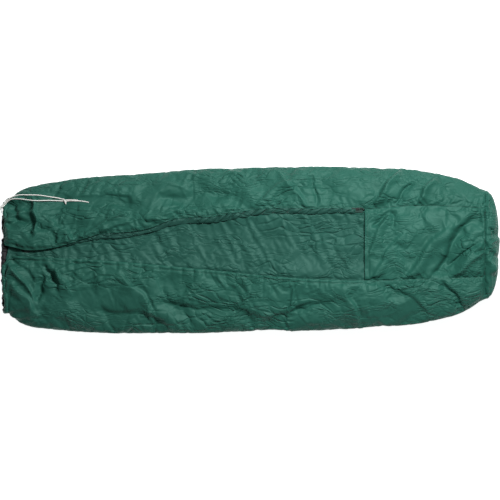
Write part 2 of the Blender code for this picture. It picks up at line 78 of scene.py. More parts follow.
ROLL = 0.050            # width of the rolled side outside the floor panel, as in the frame
SIDE_LEVEL = 0.4        # height of the widest line, as a share of the crown's height
SQUARENESS = 3.0        # how flat the section is on top
HEM_GAP = (-0.064, 0.022)   # the hem's two ends, either side of the front opening
ZIP_SINK = 0.0015       # the zip's plane lies this far under the fabric
FOOT_CROWN = ((0.800, 0.113), (1.041, 0.107))
CELL = 0.0085           # grid spacing in the simulation; the finished cloth has half of it
SIM_FRAMES = 18
PUCKER = 0.15           # how much too large the cloth is beside a seam
SLACK = 0.015           # and away from the seams
SEAM_REACH = 0.075      # how far a seam's puckers reach
SIM_CAP = 0.016         # the furthest a point may move
STRETCH_KEPT = 0.35     # share of the slow swelling that stays after the simulation
HEAD_X = -1.090
INSERT_X = -1.064       # the centre panel's head edge, a little inside the hem
END_ROLL = 0.030        # how far the boxed end turns back under itself
FLAT_EDGE_X = -0.350    # from here to the foot, the panels' edges have no listed folds
TOP_START = 0.122       # above this height the cloth levels off
TOP_ROOM = 0.013        # and rises no more than this
GROUND = 0.0006         # lowest height of the shell's cloth
LINING_REACH = 8        # grid steps over which the lining evens out the shell's creases
LINING_THICKNESS = 0.0012
PLACKET_THICKNESS = 0.0008
CORD_RADIUS = 0.0021
CORD_SIDES = 13         # points round the cord, the first one repeated
CORD_LIFT = 0.0010      # the cord's centre line over the cloth
KNOT_TURN = 4.2 * math.pi
SEAM_SINK = 0.006       # depth of the groove along a sewn seam
SEAM_WIDTH = 0.009      # and half of its width

rng = np.random.default_rng(7)


def joint(name):
    return next(j for j in frame["joints"] if j["name"] == name)


def mesh_points(mesh):
    points = np.empty(len(mesh.vertices) * 3)
    mesh.vertices.foreach_get("co", points)
    return points.reshape(-1, 3)


def node_points(name):
    return mesh_points(frame["nodes"][name].data)


def middle(name):
    low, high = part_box(name)
    return (low + high) / 2


END_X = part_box("seam_side_panel")[1].x
FOOT_EDGE_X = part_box("foot_panel")[0].x
FOOT_X = cad_box[1][0]

# The zip's arc, from its travel joint
ZIP_CENTRE = Vector(joint("zip_travel")["pos_m"])
ZIP_UP = Vector(joint("zip_travel")["axis"]).normalized()
ZIP_RADIUS = (Vector((middle("zip_slider").x, middle("zip_slider").y)) - ZIP_CENTRE.xy).length
ZIP_HEAD_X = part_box("zip_coil_lower")[0].x
ZIP_STOP_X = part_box("zip_bottom_stop")[0].x
TAPE_OUTER = 0.0080

# The flap's fold line, from its joint
FOLD_PLACE = Vector(joint("flap_fold")["pos_m"])
FOLD_AXIS = -Vector(joint("flap_fold")["axis"]).normalized()
FLAP_TIP_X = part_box("flap_panel")[1].x
FOLD_HALF_WIDTH = 0.014

# The drawcord's knot, and the way it slides
KNOT_PLACE = middle("drawcord_knot")
CORD_AXIS = Vector(joint("drawcord_pull")["axis"]).normalized()

# ---------------------------------------------------------------- curves read from the frame


def smooth_step(t):
    t = np.clip(t, 0.0, 1.0)
    return t * t * (3 - 2 * t)


def frame_curve(nodes, axis, pick, reach=0.035):
    """A smooth curve over x through the frame's own points: pick is np.min or np.max of the given axis."""
    points = np.concatenate([node_points(n) for n in nodes])
    bins = np.round(points[:, 0] / 0.012).astype(int)
    xs, values = [], []
    for b in np.unique(bins):
        inside = points[bins == b]
        xs.append(inside[:, 0].mean())
        values.append(pick(inside[:, axis]))
    fine = np.arange(-1.2, 1.2, 0.004)
    raw = np.interp(fine, xs, values)
    width = int(reach / 0.004)
    kernel = np.hanning(2 * width + 3)
    padded = np.pad(raw, width + 1, mode="edge")
    smoothed = np.convolve(padded, kernel / kernel.sum(), mode="valid")
    return lambda x: np.interp(x, fine, smoothed)


outline_low = frame_curve(["seam_side_panel"], 1, np.min)
outline_high = frame_curve(["zip_side_panel"], 1, np.max)
lower_seam = frame_curve(["centre_panel", "foot_panel"], 1, np.min, 0.02)
foot_upper_seam = frame_curve(["foot_panel"], 1, np.max, 0.02)


def zip_y(x):
    x = np.maximum(x, ZIP_HEAD_X)
    return ZIP_CENTRE.y + np.sqrt(ZIP_RADIUS**2 - (x - ZIP_CENTRE.x) ** 2)


def zip_z(x):
    return ZIP_CENTRE.z - (x - ZIP_CENTRE.x) * ZIP_UP.x / ZIP_UP.z


def angle_at(x, y):
    low, high = outline_low(x), outline_high(x)
    share = np.clip((y - (low + high) / 2) / ((high - low) / 2), -1, 1)
    return np.arccos(np.sign(share) * np.abs(share) ** (SQUARENESS / 2))


def through(points):
    """A smooth curve through a few (x, value) points."""
    xs, values = np.array(points).T
    slopes = np.gradient(values, xs)

    def curve(x):
        x = np.clip(x, xs[0], xs[-1])
        i = np.clip(np.searchsorted(xs, x) - 1, 0, len(xs) - 2)
        span = xs[i + 1] - xs[i]
        t = (x - xs[i]) / span
        return (
            values[i] * (1 + 2 * t) * (1 - t) ** 2
            + values[i + 1] * t * t * (3 - 2 * t)
            + slopes[i] * span * t * (1 - t) ** 2
            - slopes[i + 1] * span * t * t * (1 - t)
        )

    return curve


# How far the flap's soft edge hangs past the zip's centre line, towards the lower seam
overhang = through((
    (-1.09, -0.022), (-1.03, -0.010), (-0.95, 0.013), (-0.85, 0.024), (-0.75, 0.017), (-0.65, 0.009),
    (-0.55, 0.023), (-0.45, 0.024), (-0.35, 0.002), (-0.14, 0.008), (-0.04, -0.002), (0.17, -0.007),
    (0.29, 0.001), (0.36, -0.003), (0.44, 0.000), (0.51, 0.000),
))
placket_width = through((
    (-0.86, 0.004), (-0.74, 0.014), (-0.66, 0.024), (-0.61, 0.027), (-0.50, 0.020), (-0.40, 0.022),
    (-0.33, 0.026), (-0.22, 0.027), (0.10, 0.025), (0.30, 0.023), (0.46, 0.020),
))


def flap_edge(x):
    return zip_y(x) - overhang(x)


def side_edge(x):
    """The zip side's inner edge: the flap's edge, then the foot panel's upper seam."""
    step = smooth_step((x - (FOOT_EDGE_X - 0.01)) / 0.02)
    return flap_edge(x) * (1 - step) + foot_upper_seam(x) * step


# ---------------------------------------------------------------- the sack's surface


def crown_on_zip(x):
    rise = np.sin(angle_at(x, zip_y(x)))
    return (zip_z(x) + ZIP_SINK) / (SIDE_LEVEL + (1 - SIDE_LEVEL) * rise)


crown_at_foot = through(((FOOT_EDGE_X, float(crown_on_zip(FOOT_EDGE_X))), *FOOT_CROWN))


def crown(x):
    """Height of the section's crown. Up to the foot panel, the surface meets the zip's plane."""
    return np.where(x > FOOT_EDGE_X, crown_at_foot(x), crown_on_zip(np.minimum(x, FOOT_EDGE_X)))


def surface(x, angle, depth=0.0):
    """Points (..., 3) of the sack's surface, at an angle round the section from the +Y side."""
    low, high, top = outline_low(x), outline_high(x), crown(x)
    centre, half = (low + high) / 2, (high - low) / 2
    widest = SIDE_LEVEL * top
    across, up = np.cos(angle), np.sin(angle)
    y_top = centre + np.sign(across) * np.abs(across) ** (2 / SQUARENESS) * (half - depth)
    z_top = widest + (top - depth - widest) * up
    y_low = centre + np.sign(across) * (half - ROLL) + across * (ROLL - depth)
    z_low = widest + (widest - depth) * up
    x = np.broadcast_to(x, across.shape)
    return np.stack([x, np.where(up >= 0, y_top, y_low), np.where(up >= 0, z_top, z_low)], -1)


def on_surface(x, y, depth=0.0):
    return surface(x, angle_at(x, y), depth)


UNDER = 0.49 * math.pi


def section_grid(xs, start, end, rows, depth=0.0):
    """A grid whose columns run round the sections from angle start(x) to end(x), evenly spaced."""
    fine = np.linspace(0, 1, 160)
    angles = start[:, None] + (end - start)[:, None] * fine
    points = surface(xs[:, None], angles, depth)
    steps = np.linalg.norm(np.diff(points, axis=1), axis=2)
    length = np.concatenate([np.zeros((len(xs), 1)), np.cumsum(steps, axis=1)], axis=1)
    grid = np.empty((len(xs), rows, 3))
    for i in range(len(xs)):
        wanted = np.linspace(0, length[i, -1], rows)
        for k in range(3):
            grid[i, :, k] = np.interp(wanted, length[i], points[i, :, k])
    return grid


def grid_normals(grid):
    normals = np.cross(np.gradient(grid, axis=0), np.gradient(grid, axis=1))
    return normals / np.maximum(np.linalg.norm(normals, axis=2, keepdims=True), 1e-12)


def outward(grid):
    """Normals that point out of the sack."""
    normals = grid_normals(grid)
    i, j = grid.shape[0] // 2, grid.shape[1] // 2
    core = np.array([grid[i, j, 0] * 0.9, 0.0, 0.04])
    return normals if normals[i, j] @ (grid[i, j] - core) > 0 else -normals


def across_distance(grid):
    """Distance along each column from its first point."""
    steps = np.linalg.norm(np.diff(grid, axis=1), axis=2)
    return np.concatenate([np.zeros((grid.shape[0], 1)), np.cumsum(steps, axis=1)], axis=1)


# ---------------------------------------------------------------- noise and creases

NOISE_TABLE = rng.uniform(-1, 1, (256, 256))


def noise(u, v, shift=0):
    """Smooth noise from -1 to 1, one feature for each unit of u and v."""
    u, v = np.broadcast_arrays(u + 17.3 * shift, v + 31.7 * shift)
    ui, vi = np.floor(u).astype(int), np.floor(v).astype(int)
    fu, fv = smooth_step(u - ui), smooth_step(v - vi)

    def corner(a, b):
        return NOISE_TABLE[(ui + a) % 256, (vi + b) % 256]

    near = corner(0, 0) * (1 - fu) + corner(1, 0) * fu
    far = corner(0, 1) * (1 - fu) + corner(1, 1) * fu
    return near * (1 - fv) + far * fv


def crease_field(s, t, count, length, width, height, slant, spread, seed):
    """Heights of count sharp creases scattered over the sheet coordinates s and t."""
    source = np.random.default_rng(seed)
    field = np.zeros_like(s)
    low_s, high_s, low_t, high_t = s.min(), s.max(), t.min(), t.max()
    lead = s[:, s.shape[1] // 2]
    for _ in range(count):
        s0, t0 = source.uniform(low_s, high_s), source.uniform(low_t, high_t)
        turn = slant * source.choice((-1, 1)) + source.normal(0, spread)
        long_half = length * source.uniform(0.4, 1.5)
        rise_width = width * source.uniform(0.35, 0.9)
        fall_width = width * source.uniform(0.9, 2.2)
        if source.random() < 0.5:
            rise_width, fall_width = fall_width, rise_width
        tall = height * source.uniform(0.35, 1.0) * source.choice((-1, 1))
        bend = source.normal(0, 0.8)
        reach = long_half + 4 * max(rise_width, fall_width)
        columns = np.nonzero(np.abs(lead - s0) < reach)[0]
        if not len(columns):
            continue
        window = slice(columns[0], columns[-1] + 1)
        ds, dt = s[window] - s0, t[window] - t0
        along = ds * math.cos(turn) + dt * math.sin(turn)
        off = dt * math.cos(turn) - ds * math.sin(turn) - bend * along**2
        side = np.where(off > 0, rise_width, fall_width)
        taper = np.clip(1 - (along / long_half) ** 2, 0, 1) ** 1.5
        field[window] += tall * np.exp(-np.abs(off) / side) * taper
    return field


# ---------------------------------------------------------------- sheets of cloth


class Sheet:
    """A grid of cloth points. pinned and pucker are shares from 0 to 1 for every point."""

    def __init__(self, name, grid):
        self.name = name
        self.base = grid
        self.rest = grid
        self.grid = grid.copy()
        self.normals = outward(grid)
        self.across = across_distance(grid)
        columns, rows = grid.shape[:2]
        u, v = np.arange(columns)[:, None], np.arange(rows)[None, :]
        edge = np.minimum(np.minimum(u, columns - 1 - u), np.minimum(v, rows - 1 - v))
        self.pinned = np.broadcast_to(edge == 0, (columns, rows)).astype(float)
        self.sewn = None    # how strongly the first row's seam puckers the cloth before the foot panel
        self.sewn_both_sides = False    # whether the last row's seam puckers it too
        self.meets_end = False          # whether its last column is sewn to the boxed foot end
        self.is_end = False             # whether it is the boxed foot end
        self.has_flap = False           # whether its head part is the front flap
        self.pucker = smooth_step(1 - np.minimum(self.across, self.across[:, -1:] - self.across) / SEAM_REACH)

    def folds(self):
        """The listed folds and broad unevenness, none at the hem, the sewn seams or below the widest line."""
        x = self.rest[..., 0]
        high = smooth_step((self.rest[..., 2] - 0.02) / 0.03)
        from_edge = smooth_step(self.across / 0.04)
        sewn = smooth_step((x - FLAT_EDGE_X) / 0.10)
        held = smooth_step((x - HEAD_X) / 0.025) * smooth_step(np.abs(END_X - x) / 0.025)
        broad = undulation(x, self.rest[..., 1], 80) * from_edge * on_top(self.rest)
        listed = FOLD_SCALE * fold_heights(self.rest) * high * (1 - sewn * (1 - from_edge))
        return (listed + broad) * held

    def push(self, height):
        """Move the rest shape along its normals."""
        self.grid = self.grid + self.normals * height[..., None]
        self.rest = self.grid.copy()
        self.normals = outward(self.rest)


def columns_between(start, end):
    return np.linspace(start, end, round((end - start) / CELL) + 1)


FOLD_SCALE = 1.4

# Folds of the cloth: start, end, width and height, with the steep side on the left of its run
FOLDS = (
    # the hood above the opening
    ((-1.062, 0.150), (-0.975, 0.172), 0.012, 0.012),
    ((-0.968, 0.185), (-0.962, 0.090), 0.019, -0.012),
    ((-0.950, 0.200), (-0.942, 0.105), 0.016, 0.010),
    ((-1.070, 0.120), (-1.000, 0.132), 0.010, -0.012),
    ((-1.040, 0.185), (-1.030, 0.150), 0.014, -0.013),
    ((-1.065, 0.095), (-0.985, 0.075), 0.014, 0.008),
    ((-0.995, 0.040), (-0.900, 0.085), 0.016, 0.008),
    ((-0.930, 0.110), (-0.860, 0.060), 0.018, -0.007),
    ((-0.870, 0.120), (-0.790, 0.055), 0.016, 0.008),
    # below the opening
    ((-1.058, -0.065), (-0.945, -0.215), 0.012, 0.012),
    ((-1.045, -0.040), (-0.960, -0.120), 0.014, -0.008),
    ((-0.915, -0.138), (-0.932, -0.215), 0.014, -0.012),
    ((-0.900, -0.080), (-0.868, -0.120), 0.013, -0.010),
    ((-0.868, -0.120), (-0.852, -0.165), 0.014, -0.010),
    ((-0.850, -0.100), (-0.800, -0.170), 0.016, 0.008),
    ((-1.040, -0.160), (-0.960, -0.250), 0.020, 0.010),
    # the long sides
    ((-0.740, 0.070), (-0.560, 0.170), 0.012, 0.010),
    ((-0.660, 0.072), (-0.560, 0.110), 0.010, -0.008),
    ((-0.640, 0.110), (-0.400, 0.150), 0.014, 0.006),
    ((-0.450, 0.150), (-0.250, 0.185), 0.013, 0.007),
    ((-0.350, 0.235), (-0.080, 0.250), 0.030, -0.008),
    ((-0.790, 0.216), (-0.550, 0.218), 0.034, -0.009),
    ((0.020, 0.200), (0.160, 0.300), 0.020, 0.008),
    ((0.150, 0.320), (0.260, 0.185), 0.014, 0.008),
    ((0.280, 0.300), (0.300, 0.190), 0.014, -0.007),
    ((-0.640, -0.270), (-0.420, -0.300), 0.028, -0.011),
    ((-0.330, -0.235), (0.080, -0.300), 0.030, -0.010),
    ((-0.560, -0.120), (-0.440, -0.250), 0.022, 0.007),
    ((0.120, -0.290), (0.330, -0.230), 0.022, -0.008),
    ((0.170, -0.270), (0.210, -0.140), 0.016, 0.006),
    ((0.420, -0.180), (0.480, -0.300), 0.018, 0.008),
    ((0.600, -0.150), (0.760, -0.250), 0.020, -0.007),
    ((0.860, -0.150), (0.930, -0.230), 0.016, -0.012),
    ((0.560, 0.215), (0.640, 0.330), 0.016, 0.014),
    ((0.640, 0.205), (0.700, 0.290), 0.014, -0.011),
    ((0.740, 0.210), (0.800, 0.300), 0.016, 0.016),
    # the foot panel
    ((0.530, 0.000), (0.600, 0.150), 0.014, 0.016),
    ((0.545, -0.110), (0.660, 0.060), 0.014, 0.018),
    ((0.590, -0.040), (0.640, 0.030), 0.012, -0.014),
    ((0.560, 0.120), (0.620, 0.165), 0.013, -0.013),
    ((0.700, -0.110), (0.850, 0.080), 0.024, 0.014),
    ((0.830, -0.090), (0.960, 0.130), 0.030, -0.019),
    ((0.900, -0.105), (1.020, -0.010), 0.014, 0.017),
    ((0.930, -0.060), (1.025, 0.030), 0.013, 0.014),
    ((0.890, -0.060), (0.985, 0.020), 0.012, -0.011),
    ((0.857, 0.060), (0.860, 0.190), 0.006, 0.004),
    ((0.620, 0.190), (0.640, 0.120), 0.012, -0.007),
    # the boxed end
    ((1.045, 0.005), (1.085, 0.045), 0.008, 0.006),
    ((1.045, 0.000), (1.090, -0.020), 0.008, -0.006),
    ((1.045, -0.020), (1.080, -0.090), 0.010, 0.006),
    ((1.045, 0.110), (1.085, 0.080), 0.010, -0.006),
)


def fold_heights(points):
    """Heights that the listed folds give to points, from their places seen from above."""
    x, y = points[..., 0], points[..., 1]
    height = np.zeros_like(x)
    for start, end, width, tall in FOLDS:
        run = math.dist(start, end)
        along_x, along_y = (end[0] - start[0]) / run, (end[1] - start[1]) / run
        along = (x - start[0]) * along_x + (y - start[1]) * along_y
        off = (y - start[1]) * along_x - (x - start[0]) * along_y
        off = off + 0.30 * width * np.sin(7 * along / run) + 0.12 * run * (along / run - 0.5) ** 2
        side = width * np.where(off > 0, 0.6, 1.4)
        ends = np.maximum(0, np.maximum(-along, along - run)) / (1.6 * width)
        taper = np.exp(-ends**2)
        height += tall * np.exp(-((np.abs(off) / side) ** min(2.0, 100 * width))) * taper
    return height


def head_shift(x, y):
    """The gathered head edge stands back from its furthest point, the lower corner of the opening."""
    back = 0.009 * smooth_step((np.abs(y - HEM_GAP[0]) - 0.02) / 0.10)
    return back * np.exp(-np.maximum(x - HEAD_X, 0) / 0.03)


def end_shift(grid):
    """The end seam wanders a little along the sack."""
    return 0.004 * noise(grid[..., 1] / 0.028, 0.5, 95) * np.exp(-np.abs(grid[..., 0] - END_X) / 0.02)


def on_top(points):
    """Share from 0 at the rolled sides to 1 on the sack's upper face."""
    return smooth_step((points[..., 2] - 0.055) / 0.030)


def end_groove(away, points):
    """The groove along the end seam, on the sack's upper face."""
    return -0.012 * np.exp(-np.maximum(away, 0) / 0.007) * on_top(points)


def end_bulge(y):
    """How far the boxed end stands out past the end seam."""
    low, high = outline_low(END_X), outline_high(END_X)
    share = np.clip(np.abs(2 * y - low - high) / (high - low), 0, 1)
    return (FOOT_X - END_X) * np.sqrt(1 - share**2.6)


def undulation(x, y, shift):
    """Broad soft unevenness of cloth that lies loosely, with a diagonal grain."""
    u, v = x + 0.5 * y, y - 0.3 * x
    return 0.008 * noise(u / 0.15, v / 0.10, shift) + 0.0055 * noise(u / 0.07, v / 0.045, shift + 1)


def hood_gathers(x, across, shift):
    """Pleats that run back from the gathered head edge."""
    depth_in = x - HEAD_X
    fade = np.exp(-depth_in / 0.085)
    drift = across + 0.35 * depth_in * noise(across / 0.10, depth_in / 0.2, shift)
    pleats = noise(drift / 0.022, depth_in / 0.22, shift + 1)
    pleats = np.sign(pleats) * np.abs(pleats) ** 0.7
    return 0.013 * fade * pleats * smooth_step((depth_in + 0.004) / 0.022)


def into_hem(x):
    """The cloth dips into the hem's casing at the head edge."""
    return -0.006 * np.exp(-np.maximum(x - HEAD_X, 0) / 0.008)


def make_zip_side():
    xs = columns_between(HEAD_X, END_X)
    start = angle_at(xs, side_edge(xs))
    grid = section_grid(xs, start, np.full_like(xs, -UNDER), 46)
    grid[..., 0] += head_shift(grid[..., 0], grid[..., 1]) + end_shift(grid)
    sheet = Sheet("zip_side_shell", grid)
    x, t = sheet.rest[..., 0], sheet.across
    on_flap = smooth_step((FOOT_EDGE_X - x) / 0.05)
    puff = 0.0085 + 0.010 * smooth_step((-0.30 - x) / 0.12) + 0.008 * smooth_step((-0.75 - x) / 0.12)
    puff *= 1 - 0.6 * smooth_step((x - 0.36) / 0.12)
    edge_lift = puff * (0.60 + 0.40 * smooth_step(t / 0.016)) * np.exp(-np.maximum(t - 0.02, 0) / 0.06)
    seam_dip = -SEAM_SINK * np.exp(-t / SEAM_WIDTH)
    end_dip = end_groove(END_X - x, sheet.rest)
    edge_lift = edge_lift * smooth_step((x - HEAD_X + 0.006) / 0.03)
    shape = on_flap * edge_lift + np.minimum((1 - on_flap) * seam_dip, end_dip)
    sheet.push(shape + hood_gathers(x, t, 3) + sheet.folds() + into_hem(x))
    sheet.pinned[:, 0] = 1
    return sheet


def make_seam_side():
    xs = columns_between(HEAD_X, END_X)
    corner = 0.034 * np.exp(-(((xs - HEAD_X) / 0.018) ** 2))
    start = angle_at(xs, lower_seam(xs) - corner)
    grid = section_grid(xs, start, np.full_like(xs, math.pi + UNDER), 50)
    grid[..., 0] += head_shift(grid[..., 0], grid[..., 1]) + end_shift(grid)
    sheet = Sheet("seam_side_shell", grid)
    x, t = sheet.rest[..., 0], sheet.across
    beside_insert = smooth_step((FOOT_EDGE_X - x) / 0.05)
    hem = 0.0055 * smooth_step((t + 0.001) / 0.005) * np.exp(-np.maximum(t - 0.012, 0) / 0.02)
    beads = np.abs(np.sin(math.pi * (x / 0.052 + 0.5 * noise(x / 0.11, 0.5, 62))))
    hem *= 0.55 + 0.85 * beads**0.7
    hem -= 0.0045 * np.exp(-(((t - 0.0155) / 0.004) ** 2))
    seam_dip = -SEAM_SINK * np.exp(-t / SEAM_WIDTH)
    end_dip = end_groove(END_X - x, sheet.rest)
    shape = beside_insert * hem + np.minimum((1 - beside_insert) * seam_dip, end_dip)
    sheet.push(shape + hood_gathers(x, t, 9) + sheet.folds() + into_hem(x))
    return sheet


def make_insert():
    xs = columns_between(INSERT_X, FOOT_EDGE_X + 0.010)
    past_zip = smooth_step((ZIP_HEAD_X - xs) / 0.03)
    start = angle_at(xs, zip_y(xs) - TAPE_OUTER + 0.042 * past_zip)
    end = angle_at(xs, lower_seam(xs) - 0.010 - 0.030 * np.exp(-(((xs - HEAD_X) / 0.030) ** 2)))
    grid = section_grid(xs, start, end, 30)
    from_gap = np.clip((0.0155 - grid[..., 1]) / 0.07, 0, 1)
    slant = -0.020 * from_gap + 0.004 * noise(grid[..., 1] / 0.012, 0.5, 61)
    grid[..., 0] += slant * np.exp(-(grid[..., 0] - INSERT_X) / 0.05)
    sheet = Sheet("insert_shell", grid)
    t = sheet.across
    width = t[:, -1:]
    share = t / np.maximum(width, 1e-6)
    depth = np.minimum(0.012, 0.05 * width) * np.sin(math.pi * np.clip(share, 0, 1)) ** 0.6
    sheet.push(-0.0035 - depth - 0.003 * smooth_step((share - 0.9) / 0.1))
    sheet.pucker *= 0.4
    return sheet


def make_foot_panel():
    xs = columns_between(FOOT_EDGE_X - 0.002, END_X)
    start = angle_at(xs, foot_upper_seam(xs))
    end = angle_at(xs, lower_seam(xs))
    grid = section_grid(xs, start, end, 37)
    grid[..., 0] += end_shift(grid)
    sheet = Sheet("foot_shell", grid)
    x, t = sheet.rest[..., 0], sheet.across
    from_edge = x - x[0, 0]
    hem = 0.0048 * smooth_step((from_edge + 0.002) / 0.005) * np.exp(-np.maximum(from_edge - 0.014, 0) / 0.02)
    to_seam = np.minimum(t, t[:, -1:] - t)
    hem -= 0.0050 * np.exp(-(((from_edge - 0.0145) / 0.004) ** 2))
    hem *= 0.15 + 0.85 * smooth_step(to_seam / 0.02)
    seam = np.minimum(-SEAM_SINK * np.exp(-to_seam / SEAM_WIDTH), end_groove(END_X - x, sheet.rest))
    inside = smooth_step(to_seam / 0.03) * smooth_step((END_X - x) / 0.03)
    sheet.push(hem + seam + sheet.folds() * inside)
    near_ends = smooth_step(1 - np.minimum(from_edge, END_X - x) / SEAM_REACH)
    sheet.pucker = np.maximum(sheet.pucker, near_ends)
    return sheet


def make_foot_end():
    """The boxed end: columns drop from the last section's upper rim, over the bulge, to its lower rim."""
    fine = np.linspace(0.008 * math.pi, 0.992 * math.pi, 800)
    ring = surface(np.full_like(fine, END_X), fine)
    length = np.concatenate([[0], np.cumsum(np.linalg.norm(np.diff(ring, axis=0), axis=1))])
    angles = np.interp(np.linspace(0, length[-1], 84), length, fine)
    rim = surface(np.full_like(angles, END_X), angles)
    upper, under = 14, 8
    bulge = end_bulge(rim[:, 1])[:, None]
    from_centre = np.abs(rim[:, 1:2] - (outline_low(END_X) + outline_high(END_X)) / 2)
    half = (outline_high(END_X) - outline_low(END_X)) / 2
    widest = SIDE_LEVEL * crown(END_X)
    over = np.clip((from_centre - half) / ROLL + 1, 0, 1)
    lowest = widest * (1 - np.sqrt(1 - over**2))
    drop = np.linspace(0, math.pi / 2, upper)[None, :]
    turn = np.linspace(0, math.pi / 2, under + 1)[None, 1:]
    x_upper = END_X + bulge * np.sin(drop) ** 0.85
    x_under = END_X + bulge - np.minimum(bulge, END_ROLL) * (1 - np.cos(turn))
    z_upper = widest + (rim[:, 2:3] - widest) * np.cos(drop)
    z_under = widest - (widest - lowest) * np.sin(turn)
    grid = np.empty((len(angles), upper + under, 3))
    grid[..., 0] = np.concatenate([x_upper, x_under], axis=1)
    grid[..., 1] = rim[:, 1:2]
    grid[..., 2] = np.maximum(np.concatenate([z_upper, z_under], axis=1), 0.0006)
    grid[..., 0] += end_shift(grid)
    sheet = Sheet("foot_end_shell", grid)
    sheet.push(2 * sheet.folds() + end_groove(sheet.across, sheet.rest))
    return sheet


# ---------------------------------------------------------------- simulation


def first_ripples(sheet, shift):
    """Slight ripples that the cloth starts with: slanting from the seams, and loosely diagonal elsewhere."""
    s, t = sheet.rest[..., 0], sheet.across
    slant = 0.9 * noise(s / 0.30, t / 0.5, shift + 70)
    seams = noise((s + slant * t) / 0.016, t / 0.09, shift + 71)
    loose = 0
    for turn, spacing in ((0.9, 0.030), (-0.5, 0.022), (1.9, 0.040)):
        across, along = s * math.cos(turn) + t * math.sin(turn), t * math.cos(turn) - s * math.sin(turn)
        loose = loose + noise(across / spacing, along / (6 * spacing), shift + turn)
    return 0.0014 * seams * sheet.pucker + 0.0008 * loose * (1 - 0.6 * sheet.pucker)


def simulate(sheets):
    """One cloth simulation of all the sheets, held at their edges and a little too large for them."""
    points, faces, pins, puckers, base = [], [], [], [], 0
    for sheet in sheets:
        columns, rows = sheet.rest.shape[:2]
        start = sheet.rest + sheet.normals * first_ripples(sheet, len(points))[..., None]
        points.append(start.reshape(-1, 3))
        index = base + np.arange(columns * rows).reshape(columns, rows)
        quads = np.stack([index[:-1, :-1], index[1:, :-1], index[1:, 1:], index[:-1, 1:]], -1).reshape(-1, 4)
        faces.append(quads if facing(sheet) else quads[:, ::-1])
        pins.append(sheet.pinned.ravel())
        puckers.append(sheet.pucker.ravel())
        base += columns * rows
    mesh = bpy.data.meshes.new("cloth_run")
    mesh.from_pydata(np.concatenate(points).tolist(), [], np.concatenate(faces).tolist())
    cloth = bpy.data.objects.new("cloth_run", mesh)
    bpy.context.scene.collection.objects.link(cloth)
    for name, weights in (("pinned", np.concatenate(pins)), ("pucker", np.concatenate(puckers))):
        group = cloth.vertex_groups.new(name=name)
        levels = np.round(weights * 10).astype(int)
        for level in range(1, 11):
            members = np.nonzero(levels == level)[0].tolist()
            if members:
                group.add(members, level / 10, "REPLACE")
    run = cloth.modifiers.new("cloth", "CLOTH")
    cloth_settings = run.settings
    cloth_settings.quality = 5
    cloth_settings.mass = 0.15
    cloth_settings.tension_stiffness = 15
    cloth_settings.compression_stiffness = 15
    cloth_settings.shear_stiffness = 5
    cloth_settings.bending_stiffness = 0.04
    cloth_settings.vertex_group_mass = "pinned"
    cloth_settings.vertex_group_shrink = "pucker"
    cloth_settings.shrink_min = -SLACK
    cloth_settings.shrink_max = -PUCKER
    cloth_settings.use_pressure = True
    cloth_settings.uniform_pressure_force = 0.2
    cloth_settings.effector_weights.gravity = 0
    run.collision_settings.use_collision = False
    run.point_cache.frame_start = 1
    run.point_cache.frame_end = SIM_FRAMES
    for step in range(1, SIM_FRAMES + 1):
        bpy.context.scene.frame_set(step)
    depsgraph = bpy.context.evaluated_depsgraph_get()
    done = bpy.data.meshes.new_from_object(cloth.evaluated_get(depsgraph))
    moved = mesh_points(done)
    bpy.data.objects.remove(cloth)
    bpy.data.meshes.remove(done)
    bpy.context.scene.frame_set(1)
    base = 0
    for sheet in sheets:
        columns, rows = sheet.rest.shape[:2]
        result = moved[base:base + columns * rows].reshape(columns, rows, 3)
        base += columns * rows
        move = result - sheet.rest
        slow = blurred(move, 5)
        move = move - slow * (1 - STRETCH_KEPT)
        far = np.linalg.norm(move, axis=2, keepdims=True)
        sheet.grid = sheet.rest + move * np.minimum(1, SIM_CAP / np.maximum(far, 1e-9))
        calm = 0.45 + 0.55 * smooth_step((sheet.rest[..., 2] - 0.03) / 0.03)[..., None]
        move = (sheet.grid - sheet.rest) * calm * (1 - sheet.pinned[..., None])
        sheet.grid = sheet.rest + move


def facing(sheet):
    """Whether the grid's own winding already points outward."""
    i, j = sheet.rest.shape[0] // 2, sheet.rest.shape[1] // 2
    return grid_normals(sheet.rest)[i, j] @ sheet.normals[i, j] > 0


def blurred(field, times):
    """The slow part of a grid of vectors, by repeated box blurs nine cells wide."""
    for _ in range(times):
        for axis in (0, 1):
            pad = [(0, 0)] * 3
            pad[axis] = (4, 4)
            padded = np.pad(field, pad, mode="edge")
            total = np.cumsum(padded, axis=axis)
            total = np.insert(total, 0, 0, axis=axis)
            size = field.shape[axis]
            upper = np.take(total, np.arange(9, 9 + size), axis=axis)
            lower = np.take(total, np.arange(0, size), axis=axis)
            field = (upper - lower) / 9
    return field


def doubled(grid):
    """The grid with a point between every two, on a cubic through the four nearest."""
    for axis in (0, 1):
        moved = np.moveaxis(grid, axis, 0)
        before = np.concatenate([2 * moved[:1] - moved[1:2], moved, 2 * moved[-1:] - moved[-2:-1]])
        between = (9 * (before[1:-2] + before[2:-1]) - before[:-3] - before[3:]) / 16
        count = len(moved)
        fine = np.empty((2 * count - 1, *moved.shape[1:]))
        fine[0::2] = moved
        fine[1::2] = between
        grid = np.moveaxis(fine, 0, axis)
    return grid


# ---------------------------------------------------------------- meshes


